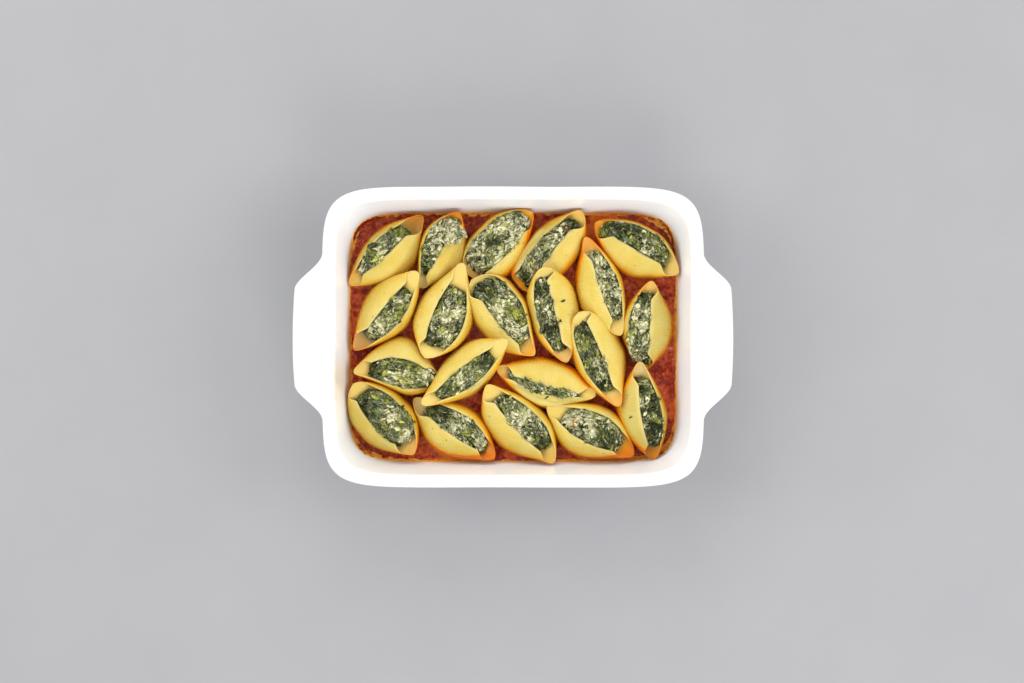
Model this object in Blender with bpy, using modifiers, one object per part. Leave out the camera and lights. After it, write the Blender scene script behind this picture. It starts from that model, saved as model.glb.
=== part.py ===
"""A white baking dish of stuffed pasta shells in tomato sauce.

Metres, +Z up. The origin is the middle of the dish's base, and +X runs through both handles.
Each pasta shell is a boat with two raised tips. One of its long walls ends in a thin open rim, and the
other, the lobe, rolls over the top of the filling. Seen from the start tip towards the end tip, the
lobe is on the left.
"""

import math
from typing import NamedTuple

import bmesh
import bpy
import numpy as np

# Dish: the outline at the rim, the walls under it, and the wing handles at its two ends
RIM_LENGTH = 0.2645
RIM_WIDTH = 0.2085
RIM_HEIGHT = 0.060
RIM_BAND = 0.008
RIM_SQUARENESS = 8.0
CORNER_TIGHTENING = 130.0
CORNER_RADIUS = 0.030
WALL_THICKNESS = 0.0058
WALL_DRAFT = math.radians(10.9)
FLOOR_THICKNESS = 0.005
FLOOR_FILLET = 0.007
HEEL_RADIUS = 0.007
HANDLE_REACH = 0.0203
HANDLE_FLAT = 0.033
HANDLE_ROOT = 0.058
HANDLE_SHOULDER_POINTS = 5
HANDLE_BOW = 0.0012
HANDLE_ROOT_DEPTH = 0.0105
HANDLE_EDGE_DEPTH = 0.0038
HANDLE_EDGE_RADIUS = 0.0032

# Food: the sauce's level, the pasta's wall, and the heights and tapers that every shell shares
GAP = 0.0003
SAUCE_LEVEL = 0.021
PASTA_THICKNESS = 0.0019
PASTA_AT_TIP = 0.42
BELLY_HEIGHT = 0.0082
THIN_RIM_HEIGHT = 0.0365
LOBE_HEIGHT = 0.0385
TIP_HALF_WIDTH = 0.0020
TIP_DEPTH = 0.0026
TIP_FLARE = 0.55
THIN_POWER = 1.9
THIN_TAPER = 1.1
THIN_KNEE = 0.15
THIN_ROLL = 0.0015
LOBE_POWER = 2.1
LOBE_TAPER = 1.3
KEEL_POWER = 2.0
FILLING_CLEARANCE = 0.0020
CUTTER_CLEARANCE = 0.0018

# Stations along a shell, from tip to tip, and round its section, from the thin rim to the lobe's lip
ALONG = np.array([-1.0, -0.87, -0.68, -0.36, 0.0, 0.36, 0.68, 0.87, 1.0])
AROUND = np.linspace(0.0, 1.0, 7)
FILLING_ALONG = slice(2, 7)
FILLING_TOP_POINTS = 2


class Shell(NamedTuple):
    """One shell: its two tips, and how far its walls stand off the straight line between them.

    lip is how far the lobe's edge stays from that line, heap is how high the filling domes, lean is
    how many degrees the thin wall rolls in past upright, and skew moves the lobe's bulge towards the
    end tip, as a share of half the length.
    """

    start: tuple
    end: tuple
    thin: float
    lobe: float
    lip: float
    heap: float = 0.0015
    lean: float = 4.0
    skew: float = 0.12


SHELLS = [
    # Along the back wall, from the left
    Shell((-0.064, 0.086, 0.031), (-0.116, 0.037, 0.030), 0.0135, 0.0205, 0.003, skew=-0.1),
    Shell((-0.038, 0.088, 0.038), (-0.066, 0.035, 0.027), 0.0150, 0.0155, 0.001, heap=0.003, skew=-0.2),
    Shell((0.014, 0.088, 0.036), (-0.033, 0.045, 0.028), 0.0165, 0.0200, 0.010, heap=0.004),
    Shell((0.049, 0.089, 0.037), (0.006, 0.034, 0.028), 0.0140, 0.0155, 0.000, skew=-0.2),
    Shell((0.117, 0.045, 0.036), (0.058, 0.081, 0.031), 0.0165, 0.0195, 0.002),
    # Second row
    Shell((-0.113, -0.009, 0.031), (-0.067, 0.046, 0.043), 0.0165, 0.0165, 0.003, skew=-0.15),
    Shell((-0.062, -0.015, 0.038), (-0.035, 0.052, 0.047), 0.0180, 0.0190, 0.007, skew=-0.2),
    Shell((0.015, -0.013, 0.036), (-0.029, 0.041, 0.037), 0.0185, 0.0170, 0.0055, heap=0.003),
    Shell((0.021, 0.049, 0.048), (0.038, -0.018, 0.034), 0.0150, 0.0165, 0.001, skew=-0.1),
    Shell((0.076, 0.001, 0.035), (0.051, 0.071, 0.036), 0.0130, 0.0200, 0.003),
    Shell((0.098, 0.040, 0.036), (0.094, -0.024, 0.028), 0.0175, 0.0155, 0.001, heap=0.003),
    # Third row
    Shell((-0.113, -0.024, 0.036), (-0.058, -0.030, 0.030), 0.0105, 0.0250, 0.009, heap=0.003),
    Shell((-0.064, -0.047, 0.045), (-0.004, -0.002, 0.045), 0.0140, 0.0170, 0.004),
    Shell((-0.012, -0.022, 0.032), (0.059, -0.041, 0.032), 0.0145, 0.0160, -0.003, lean=50.0, skew=-0.1),
    Shell((0.047, 0.018, 0.039), (0.075, -0.049, 0.038), 0.0155, 0.0175, 0.003, skew=-0.1),
    # Along the front wall, from the left
    Shell((-0.070, -0.083, 0.034), (-0.113, -0.033, 0.036), 0.0190, 0.0200, 0.0085, heap=0.005),
    Shell((-0.013, -0.086, 0.033), (-0.071, -0.044, 0.027), 0.0145, 0.0190, 0.0045),
    Shell((0.029, -0.089, 0.035), (-0.019, -0.034, 0.036), 0.0170, 0.0190, 0.005),
    Shell((0.086, -0.084, 0.030), (0.024, -0.049, 0.033), 0.0160, 0.0200, 0.009, heap=0.002),
    Shell((0.100, -0.087, 0.031), (0.089, -0.017, 0.041), 0.0150, 0.0180, 0.005, lean=25.0),
]


def smoothstep(value):
    """0 below 0, 1 above 1, and an even S between them."""
    value = np.clip(value, 0.0, 1.0)
    return value * value * (3.0 - 2.0 * value)


def new_material(name, colour, roughness):
    material = bpy.data.materials.new(name)
    material.use_nodes = True
    surface = material.node_tree.nodes["Principled BSDF"]
    surface.inputs["Base Color"].default_value = (*colour, 1.0)
    surface.inputs["Roughness"].default_value = roughness
    surface.inputs["Metallic"].default_value = 0.0
    return material


def new_object(name, mesh, collection, material=None):
    """Puts the mesh in the scene as a smooth-shaded object with its own material."""
    mesh.shade_smooth()
    mesh.set_sharp_from_angle(angle=math.radians(40))
    obj = bpy.data.objects.new(name, mesh)
    collection.objects.link(obj)
    if material:
        mesh.materials.append(material)
    return obj


def loft(name, sections, closed, capped):
    """Skins a run of sections, each a row of points; closed rows join their ends."""
    length = sections.shape[1]
    mesh = bpy.data.meshes.new(name)
    builder = bmesh.new()
    rows = [[builder.verts.new(point) for point in section] for section in sections]
    columns = range(length if closed else length - 1)
    for lower, upper in zip(rows, rows[1:]):
        for i in columns:
            j = (i + 1) % length
            builder.faces.new((lower[i], lower[j], upper[j], upper[i]))
    if capped:
        builder.faces.new(reversed(rows[0]))
        builder.faces.new(rows[-1])
    builder.to_mesh(mesh)
    builder.free()
    return mesh


# Dish and sauce


def inner_inset(height):
    """How far the inner wall stands in from the rim's outline at a height."""
    return RIM_BAND + (RIM_HEIGHT - height) * math.tan(WALL_DRAFT)


def outer_inset(height):
    return inner_inset(height) - WALL_THICKNESS


def quarter_angles():
    """Bearings of the outline's points in one quarter, crowded at the handle's shoulder and the corner."""
    half_length, half_width = RIM_LENGTH / 2, RIM_WIDTH / 2
    shoulder = np.linspace(HANDLE_FLAT, HANDLE_ROOT, HANDLE_SHOULDER_POINTS)
    side = np.concatenate([[0.0, HANDLE_FLAT / 2], shoulder])
    turn = np.radians([4.0, 24.0, 45.0, 66.0, 86.0])
    corner_x = half_length - CORNER_RADIUS * (1 - np.cos(turn))
    corner_y = half_width - CORNER_RADIUS * (1 - np.sin(turn))
    back = np.linspace(half_length - CORNER_RADIUS * 1.6, 0.0, 4)
    return np.concatenate(
        [
            np.arctan2(side, half_length),
            np.arctan2(corner_y, corner_x),
            np.arctan2(half_width, back),
        ]
    )


def outline_angles():
    """Bearings all the way round, the first quarter mirrored into the others."""
    quarter = quarter_angles()
    half = np.concatenate([quarter, math.pi - quarter[-2::-1]])
    return np.concatenate([half, -half[-2:0:-1]])


def ring(inset, height, reach=0.0):
    """The dish's outline drawn in by inset, with the handles standing out by a share of their reach.

    The outline is a superellipse, so its sides bow gently and its corners turn softly, a little tighter
    further in. A handle rises from the side in an S and has a slightly bowed outer edge.
    """
    angles = outline_angles()
    half_length = RIM_LENGTH / 2 - inset
    half_width = RIM_WIDTH / 2 - inset
    power = RIM_SQUARENESS + CORNER_TIGHTENING * inset
    across = (np.abs(np.cos(angles)) / half_length) ** power
    radius = (across + (np.abs(np.sin(angles)) / half_width) ** power) ** (-1 / power)
    x = radius * np.cos(angles)
    y = radius * np.sin(angles)
    rise = smoothstep((HANDLE_ROOT - np.abs(y)) / (HANDLE_ROOT - HANDLE_FLAT))
    bow = HANDLE_BOW * (np.abs(y) / HANDLE_FLAT) ** 2
    x += np.sign(x) * reach * rise * (HANDLE_REACH - bow)
    return np.column_stack([x, y, np.full_like(x, height)])


def rounded(inset, height, radius, start, stop, steps=3):
    """Insets and heights along an arc, its angles measured from straight outwards, up."""
    angles = np.radians(np.linspace(start, stop, steps))
    return [(inset - radius * math.cos(a), height + radius * math.sin(a)) for a in angles]


def make_dish(collection):
    """One piece of glazed ware: from the base up the outside, over the rim and down to the floor."""
    heel = rounded(outer_inset(HEEL_RADIUS) + HEEL_RADIUS, HEEL_RADIUS, HEEL_RADIUS, -90, -8)
    handle_root = RIM_HEIGHT - HANDLE_ROOT_DEPTH
    rim_edge = RIM_HEIGHT - HANDLE_EDGE_DEPTH
    inner_foot = FLOOR_THICKNESS + FLOOR_FILLET
    fillet = rounded(
        inner_inset(inner_foot) + FLOOR_FILLET, inner_foot, FLOOR_FILLET, -8, -90
    )
    sections = [
        *(ring(*place) for place in heel),
        ring(outer_inset(handle_root), handle_root),
        ring(0.0014, rim_edge - HANDLE_EDGE_RADIUS, 0.94),
        ring(0.0, rim_edge, 1.0),
        ring(0.0012, RIM_HEIGHT - 0.0009, 0.95),
        ring(0.0040, RIM_HEIGHT),
        ring(RIM_BAND - 0.0015, RIM_HEIGHT - 0.0008),
        ring(inner_inset(rim_edge), rim_edge),
        *(ring(*place) for place in fillet),
    ]
    mesh = loft("dish", np.array(sections), closed=True, capped=True)
    glaze = new_material("white_glaze", (0.88, 0.88, 0.86), 0.16)
    return new_object("dish", mesh, collection, glaze)


def make_sauce(collection, cutters):
    """A pool that fills the dish's floor up to its level, hollowed where the shells sit in it."""
    inner_foot = FLOOR_THICKNESS + FLOOR_FILLET
    foot = rounded(
        inner_inset(inner_foot) + FLOOR_FILLET + GAP,
        inner_foot + GAP,
        FLOOR_FILLET,
        -90,
        -8,
    )
    sections = [ring(*place) for place in foot]
    sections.append(ring(inner_inset(SAUCE_LEVEL) + GAP, SAUCE_LEVEL))
    mesh = loft("sauce", np.array(sections), closed=True, capped=True)
    red = new_material("tomato_sauce", (0.19, 0.022, 0.008), 0.25)
    sauce = new_object("sauce", mesh, collection, red)
    hollow = sauce.modifiers.new("shell_hollows", "BOOLEAN")
    hollow.operation = "DIFFERENCE"
    hollow.operand_type = "COLLECTION"
    hollow.collection = cutters
    return sauce


# Pasta shells and their filling


def wall_points(shell, along, around, inset=0.0):
    """Points of the shell's outer wall, or of the surface that lies inset inside it.

    along runs from -1 at the start tip to 1 at the end tip, and around from 0 at the thin rim to 1 at
    the lobe's lip. A section is made of quarter ellipses that meet at the keel. The thin wall rises
    from it in one quarter to its rim, and the lobe in one quarter to its widest point, then rolls
    over the top. Towards the tips the section shrinks, rises and opens out.
    """
    start, end = np.array(shell.start), np.array(shell.end)
    u = along[:, None]
    opening = smoothstep((1.0 - np.abs(u)) / TIP_FLARE)
    lip_angle = math.pi - math.asin(shell.lip / shell.lobe)
    lobe_angle = math.pi / 2 + (lip_angle - math.pi / 2) * opening
    thin_angle = math.pi / 2 + math.radians(shell.lean) * opening
    angle = -thin_angle + (lobe_angle + thin_angle) * around[None, :]

    shifted = u - shell.skew * (1.0 - u * u)
    thin_reach = (shell.thin - TIP_HALF_WIDTH) * (1.0 - np.abs(u) ** THIN_POWER) ** THIN_TAPER
    lobe_reach = (shell.lobe - TIP_HALF_WIDTH) * (1.0 - np.abs(shifted) ** LOBE_POWER) ** LOBE_TAPER
    reach = np.where(angle < 0.0, thin_reach, lobe_reach) + TIP_HALF_WIDTH - inset

    tip_height = (start[2] + end[2]) / 2 + u * (end[2] - start[2]) / 2
    keel = BELLY_HEIGHT + (tip_height - TIP_DEPTH - BELLY_HEIGHT) * np.abs(u) ** KEEL_POWER
    thin_top = THIN_RIM_HEIGHT + (tip_height - THIN_RIM_HEIGHT) * u * u
    lobe_top = LOBE_HEIGHT + (tip_height - LOBE_HEIGHT) * u * u
    knee = thin_top - THIN_KNEE * (thin_top - keel)
    middle = np.where(angle < 0.0, knee, (lobe_top + keel) / 2)
    top = np.where(angle < 0.0, thin_top + THIN_ROLL * opening, lobe_top) - inset
    cosine = np.cos(angle)
    rise = np.where(cosine > 0.0, middle - keel - inset, top - middle)

    centre = (start + end) / 2
    forward = (end - start)[:2] / 2
    left = np.array([-forward[1], forward[0]]) / np.hypot(*forward)
    side = reach * np.sin(angle)
    x = centre[0] + forward[0] * u + left[0] * side
    y = centre[1] + forward[1] * u + left[1] * side
    return np.stack([x, y, middle - rise * cosine], axis=2)


def make_pasta(name, shell, collection, material):
    """The pasta wall: an open surface thickened inwards, thinner at its two tips."""
    points = wall_points(shell, ALONG, AROUND)
    mesh = loft(name, points, closed=False, capped=False)
    obj = new_object(name, mesh, collection, material)
    wall = obj.vertex_groups.new(name="wall")
    for row, u in enumerate(ALONG):
        weight = float(smoothstep((1.0 - abs(u)) / 0.3))
        first = row * len(AROUND)
        wall.add(range(first, first + len(AROUND)), weight, "REPLACE")
    solidify = obj.modifiers.new("pasta_wall", "SOLIDIFY")
    solidify.thickness = PASTA_THICKNESS
    solidify.offset = -1.0
    solidify.vertex_group = wall.name
    solidify.thickness_vertex_group = PASTA_AT_TIP
    return obj


def make_filling(name, shell, collection, material):
    """The filling: it follows the inside of the wall and heaps up between the rim and the lip."""
    along = ALONG[FILLING_ALONG]
    inset = PASTA_THICKNESS + FILLING_CLEARANCE
    wall = wall_points(shell, along, AROUND, inset)[:, :-1]
    across = np.linspace(1.0, 0.0, FILLING_TOP_POINTS + 2)[1:-1]
    dome = np.sqrt(across * (1.0 - across)) * 2.0
    rounding = 1.0 - 0.8 * (np.abs(along) / np.abs(along).max()) ** 4
    heap = shell.heap * dome[None, :] * rounding[:, None]
    first, last = wall[:, :1], wall[:, -1:]
    top = first + (last - first) * across[None, :, None]
    top[:, :, 2] += heap
    sections = np.concatenate([wall, top], axis=1)
    mesh = loft(name, sections, closed=True, capped=True)
    return new_object(name, mesh, collection, material)


def make_cutter(name, shell, collection):
    """A closed body a little larger than the shell, which makes its hollow in the sauce."""
    points = wall_points(shell, ALONG, AROUND, -CUTTER_CLEARANCE)
    cutter = new_object(name, loft(name, points, closed=True, capped=True), collection)
    cutter.hide_render = True
    cutter.display_type = "WIRE"
    return cutter


def new_collection(name, hidden=False):
    collection = bpy.data.collections.new(name)
    bpy.context.scene.collection.children.link(collection)
    collection.hide_render = hidden
    return collection


def main():
    for obj in list(bpy.data.objects):
        bpy.data.objects.remove(obj)
    dish_of_shells = new_collection("dish_of_stuffed_pasta_shells")
    cutters = new_collection("sauce_cutters", hidden=True)
    for number, shell in enumerate(SHELLS, start=1):
        make_cutter(f"hollow_{number:02d}", shell, cutters)
    make_dish(dish_of_shells)
    make_sauce(dish_of_shells, cutters)
    for number, shell in enumerate(SHELLS, start=1):
        pasta = new_material(f"pasta_{number:02d}", (0.80, 0.55, 0.16), 0.42)
        make_pasta(f"pasta_shell_{number:02d}", shell, dish_of_shells, pasta)
        greens = new_material(f"spinach_and_ricotta_{number:02d}", (0.08, 0.11, 0.04), 0.55)
        make_filling(f"filling_{number:02d}", shell, dish_of_shells, greens)


main()
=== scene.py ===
"""The dish of stuffed pasta shells, dressed: glazed dish, baked sauce, ridged pasta and chopped filling."""

import dataclasses
import itertools
import math

import bpy
import numpy as np
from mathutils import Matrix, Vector


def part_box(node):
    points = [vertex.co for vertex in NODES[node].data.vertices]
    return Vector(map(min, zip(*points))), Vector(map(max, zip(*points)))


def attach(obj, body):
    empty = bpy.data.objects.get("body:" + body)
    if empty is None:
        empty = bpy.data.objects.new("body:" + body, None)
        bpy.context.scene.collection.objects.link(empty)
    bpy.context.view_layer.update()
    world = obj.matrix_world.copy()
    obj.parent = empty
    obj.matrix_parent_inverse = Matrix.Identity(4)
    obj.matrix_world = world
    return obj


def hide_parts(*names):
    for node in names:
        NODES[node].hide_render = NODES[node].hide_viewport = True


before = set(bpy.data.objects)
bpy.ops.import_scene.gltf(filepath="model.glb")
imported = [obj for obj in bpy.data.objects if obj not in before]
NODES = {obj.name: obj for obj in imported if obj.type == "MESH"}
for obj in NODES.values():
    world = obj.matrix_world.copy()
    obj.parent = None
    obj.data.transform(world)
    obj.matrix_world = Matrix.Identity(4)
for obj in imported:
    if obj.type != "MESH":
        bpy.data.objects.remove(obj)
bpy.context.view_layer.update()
SAUCE_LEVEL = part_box("sauce")[1].z
MM = 0.001

# ---------------------------------------------------------------- small maths


def smoothstep(t):
    """0 up to t = 0, 1 from t = 1, and t squared times (3 - 2t) between them."""
    t = np.clip(t, 0.0, 1.0)
    return t * t * (3.0 - 2.0 * t)


def blend(low, high, share):
    """low where share is 0, high where it is 1, and straight in between."""
    return low + (high - low) * share


def near_to_far(pair, along):
    """The pair's first value up to along = -0.3, its second from 0.3, and smoothstep between them."""
    return blend(*pair, smoothstep((along + 0.3) / 0.6))


def unit(vectors):
    """The vectors along the last axis, each divided by its length."""
    return vectors / np.maximum(np.linalg.norm(vectors, axis=-1, keepdims=True), 1e-12)


def waver(points, pitch, seed):
    """Smooth random values from about -1 to 1 at points (..., 3).

    Random numbers sit on a cubic lattice of one pitch, and smoothstep blends the eight round each point.
    """
    lattice = np.random.default_rng(seed).uniform(-1.0, 1.0, (32, 32, 32))
    cells = points / pitch + 101.37
    corner = np.floor(cells).astype(int)
    part = smoothstep(cells - corner)
    total = np.zeros(points.shape[:-1])
    for step in itertools.product((0, 1), repeat=3):
        near = np.where(np.array(step) == 1, part, 1.0 - part).prod(axis=-1)
        at = (corner + np.array(step)) % 32
        total += near * lattice[at[..., 0], at[..., 1], at[..., 2]]
    return total


def rough(points, pitch, seed, layers=3):
    """Several layers of waver, each at half the pitch and half the height of the one before."""
    total = np.zeros(points.shape[:-1])
    for layer in range(layers):
        total += waver(points, pitch / 2**layer, seed + 7 * layer) / 2**layer
    return total


def level(x, y, z=0.0):
    """Points (..., 3) at x, y and one height."""
    x, y = np.broadcast_arrays(x, y)
    return np.stack([x, y, np.broadcast_to(z, x.shape)], axis=-1)


# ---------------------------------------------------------------- meshes


def grid_faces(rows, columns, wrap=False):
    """Quads of a grid whose point (row, column) is row * columns + column. With wrap, columns close up."""
    row = np.arange(rows - 1)[:, None]
    column = np.arange(columns if wrap else columns - 1)[None, :]
    after = (column + 1) % columns
    this_row, next_row = row * columns, (row + 1) * columns
    corners = [this_row + column, this_row + after, next_row + after, next_row + column]
    return np.stack(np.broadcast_arrays(*corners), axis=-1).reshape(-1, 4)


def tube_faces(rows, columns):
    """Quads of a grid round a tube, and triangles from its ends to the two points that follow it."""
    first, last = np.arange(columns), np.arange((rows - 1) * columns, rows * columns)
    caps = [fan_faces(rows * columns, first, flip=True), fan_faces(rows * columns + 1, last)]
    return grid_faces(rows, columns, wrap=True), np.concatenate(caps)


def folded_faces(below):
    """Quads of a grid, and of its underside, whose points below numbers. The two share the grid's border."""
    upper = grid_faces(*below.shape)
    return np.concatenate([upper[:, ::-1], below.reshape(-1)[upper]])


def fan_faces(centre, ring, flip=False):
    """Triangles from one point to each side of a closed ring of point numbers."""
    ring = np.asarray(ring)
    after = np.roll(ring, -1)
    sides = [np.full(len(ring), centre), ring, after]
    if flip:
        sides = [sides[0], after, ring]
    return np.stack(sides, axis=-1)


def new_piece(name, points, quads, triangles, finish, stands_for=(), marks=None):
    """A shaded piece from points, quads and triangles. marks are values or colours kept at its points."""
    points = np.asarray(points, float).reshape(-1, 3)
    quads = np.asarray(quads, int).reshape(-1, 4)
    triangles = np.asarray(triangles, int).reshape(-1, 3)
    mesh = bpy.data.meshes.new(name)
    mesh.vertices.add(len(points))
    mesh.vertices.foreach_set("co", points.ravel())
    corners = np.concatenate([quads.ravel(), triangles.ravel()])
    sizes = np.concatenate([np.full(len(quads), 4), np.full(len(triangles), 3)])
    mesh.loops.add(len(corners))
    mesh.loops.foreach_set("vertex_index", corners)
    mesh.polygons.add(len(sizes))
    mesh.polygons.foreach_set("loop_start", np.concatenate([[0], np.cumsum(sizes)[:-1]]))
    mesh.polygons.foreach_set("use_smooth", np.ones(len(sizes), bool))
    for mark, values in (marks or {}).items():
        values = np.asarray(values, float)
        if values.ndim == 2:
            colours = np.concatenate([values, np.ones((len(values), 1))], axis=1)
            mesh.attributes.new(mark, "FLOAT_COLOR", "POINT").data.foreach_set("color", colours.ravel())
        else:
            mesh.attributes.new(mark, "FLOAT", "POINT").data.foreach_set("value", values.ravel())
    mesh.update(calc_edges=True)
    mesh.validate()
    mesh.materials.append(finish)
    piece = bpy.data.objects.new(name, mesh)
    bpy.context.scene.collection.objects.link(piece)
    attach(piece, "root")
    if stands_for:
        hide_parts(*stands_for)
    return piece


# ---------------------------------------------------------------- finishes


class Tone:
    """A node's output. + - * between it and a number or another Tone add the Math node that does it."""

    def __init__(self, finish, output):
        self.finish = finish
        self.output = output

    def maths(self, operation, first, second=0.0):
        """Adds a Math node."""
        return self.finish.node("ShaderNodeMath", {"operation": operation}, {0: first, 1: second})

    def __add__(self, other):
        return self.maths("ADD", self, other)

    def __sub__(self, other):
        return self.maths("SUBTRACT", self, other)

    def __rsub__(self, other):
        return self.maths("SUBTRACT", other, self)

    def __mul__(self, other):
        return self.maths("MULTIPLY", self, other)

    def __abs__(self):
        return self.maths("ABSOLUTE", self)

    __radd__ = __add__
    __rmul__ = __mul__

    def or_more(self, other):
        """The larger of this and another."""
        return self.maths("MAXIMUM", self, other)

    def step(self, low, high):
        """0 where this is under low, 1 where it is over high, smooth between."""
        sockets = {"Value": self, "From Min": low, "From Max": high}
        return self.finish.node("ShaderNodeMapRange", {"interpolation_type": "SMOOTHSTEP"}, sockets)


class Finish:
    """A material being made: one Principled shader and the nodes that feed it."""

    def __init__(self, name, **constants):
        self.material = bpy.data.materials.new(name)
        self.material.use_nodes = True
        self.tree = self.material.node_tree
        self.shader = self.tree.nodes["Principled BSDF"]
        for socket, value in constants.items():
            self.shader.inputs[socket.replace("_", " ")].default_value = value
        self.place = self.node("ShaderNodeTexCoord", {}, {}, "Object")

    def node(self, kind, settings, sockets, output=0):
        """Adds a node: its settings first, then its sockets' values or links. Gives one of its outputs."""
        made = self.tree.nodes.new(kind)
        for name, value in settings.items():
            setattr(made, name, value)
        for name, value in sockets.items():
            self.feed(made.inputs[name], value)
        return Tone(self, made.outputs[output])

    def feed(self, socket, value):
        """Links a Tone to a socket, or sets the socket to a number or colour."""
        if isinstance(value, Tone):
            self.tree.links.new(value.output, socket)
        elif isinstance(value, tuple) and len(value) == 3 and socket.type == "RGBA":
            socket.default_value = (*value, 1.0)
        else:
            socket.default_value = value

    def mark(self, name, output="Fac"):
        """A value or colour that the mesh keeps at its points."""
        return self.node("ShaderNodeAttribute", {"attribute_name": name}, {}, output)

    def noise(self, pitch, detail=3.0, roughness=0.55, distortion=0.0, place=None):
        """Cloudy values from 0 to 1 whose patches are about pitch metres across."""
        sockets = {"Vector": place or self.place, "Scale": 1.0 / pitch, "Detail": detail}
        sockets.update({"Roughness": roughness, "Distortion": distortion})
        return self.node("ShaderNodeTexNoise", {}, sockets)

    def cells(self, pitch):
        """Distance from the middles of scattered cells about pitch metres apart, in cell sizes."""
        sockets = {"Vector": self.place, "Scale": 1.0 / pitch}
        return self.node("ShaderNodeTexVoronoi", {}, sockets, "Distance")

    def mix(self, low, high, share):
        """The colour low where share is 0 and high where it is 1."""
        return self.node("ShaderNodeMix", {"data_type": "RGBA"}, {0: share, 6: low, 7: high}, 2)

    def height(self):
        """Height above the table, in metres."""
        return self.node("ShaderNodeSeparateXYZ", {}, {0: self.place}, "Z")

    def bump(self, height, depth, under=None):
        """A normal from a relief whose full height is depth metres."""
        sockets = {"Height": height, "Distance": depth, "Strength": 1.0}
        if under is not None:
            sockets["Normal"] = under
        return self.node("ShaderNodeBump", {}, sockets)

    def done(self, colour, roughness, normal):
        """Feeds the shader and gives the finished material."""
        for name, value in {"Base Color": colour, "Roughness": roughness, "Normal": normal}.items():
            self.feed(self.shader.inputs[name], value)
        return self.material


def glazed_stoneware():
    """White glaze with faint waves, lightest inside, with beige-grey painted shade on two inner walls.

    Inside, the white is painted lighter and bluer, with less red near the sauce. This is painted light that
    makes up for the shade on the inner wall and cancels the warm light bounced from the food. The beige-grey
    on the left and front inner walls is painted shade. It is gold just above the sauce, and the foot's ring
    is bare clay.
    """
    cool_white, warm_white, bare_clay = (0.740, 0.755, 0.760), (0.765, 0.778, 0.785), (0.70, 0.63, 0.52)
    inner_white_painted_light, white_by_sauce_painted_light, warm_shade_beige = (0.89, 0.93, 0.955), (0.87, 0.985, 1.0), (0.78, 0.68, 0.50)
    pale_film, gold_film = (0.97, 0.90, 0.66), (0.98, 0.62, 0.16)
    finish = Finish("glazed_stoneware", Coat_Weight=0.35, Coat_Roughness=0.04, Specular_IOR_Level=0.5)
    clouds = finish.noise(0.035, 4.0)
    grain = finish.noise(0.0011, 2.0)
    glaze = finish.mix(cool_white, warm_white, clouds)
    # Painted light: the inner wall is lighter and bluer than the outer glaze and loses red towards the
    # sauce. This makes up for its shade and cancels the warm light bounced from the food.
    near_sauce = (SAUCE_LEVEL + 0.018 - finish.height()).step(0.0, 0.016)
    inner = finish.mix(inner_white_painted_light, white_by_sauce_painted_light, near_sauce)
    glaze = finish.mix(glaze, inner, finish.mark("inside"))
    # Painted shade: a beige-grey cast down the left inner wall and over the front inner wall.
    glaze = finish.mix(glaze, warm_shade_beige, finish.mark("painted_warm_shade") * (0.6 + clouds * 0.5))
    reach = finish.noise(0.0045, 4.0) * 0.0060 - finish.height() + SAUCE_LEVEL
    glaze = finish.mix(glaze, pale_film, (reach + 0.0035).step(0.0, 0.0035) * finish.mark("inside"))
    glaze = finish.mix(glaze, gold_film, (reach + 0.0005).step(0.0, 0.0030) * finish.mark("inside"))
    foot = 1.0 - (finish.height() + finish.noise(0.004) * 0.0006).step(0.0009, 0.0014)
    colour = finish.mix(glaze, bare_clay, foot)
    roughness = 0.10 + clouds * 0.08 + foot * 0.5
    waves = finish.bump(finish.noise(0.013, 2.0), 0.00022)
    return finish.done(colour, roughness, finish.bump(grain, 0.00001, waves))


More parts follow.
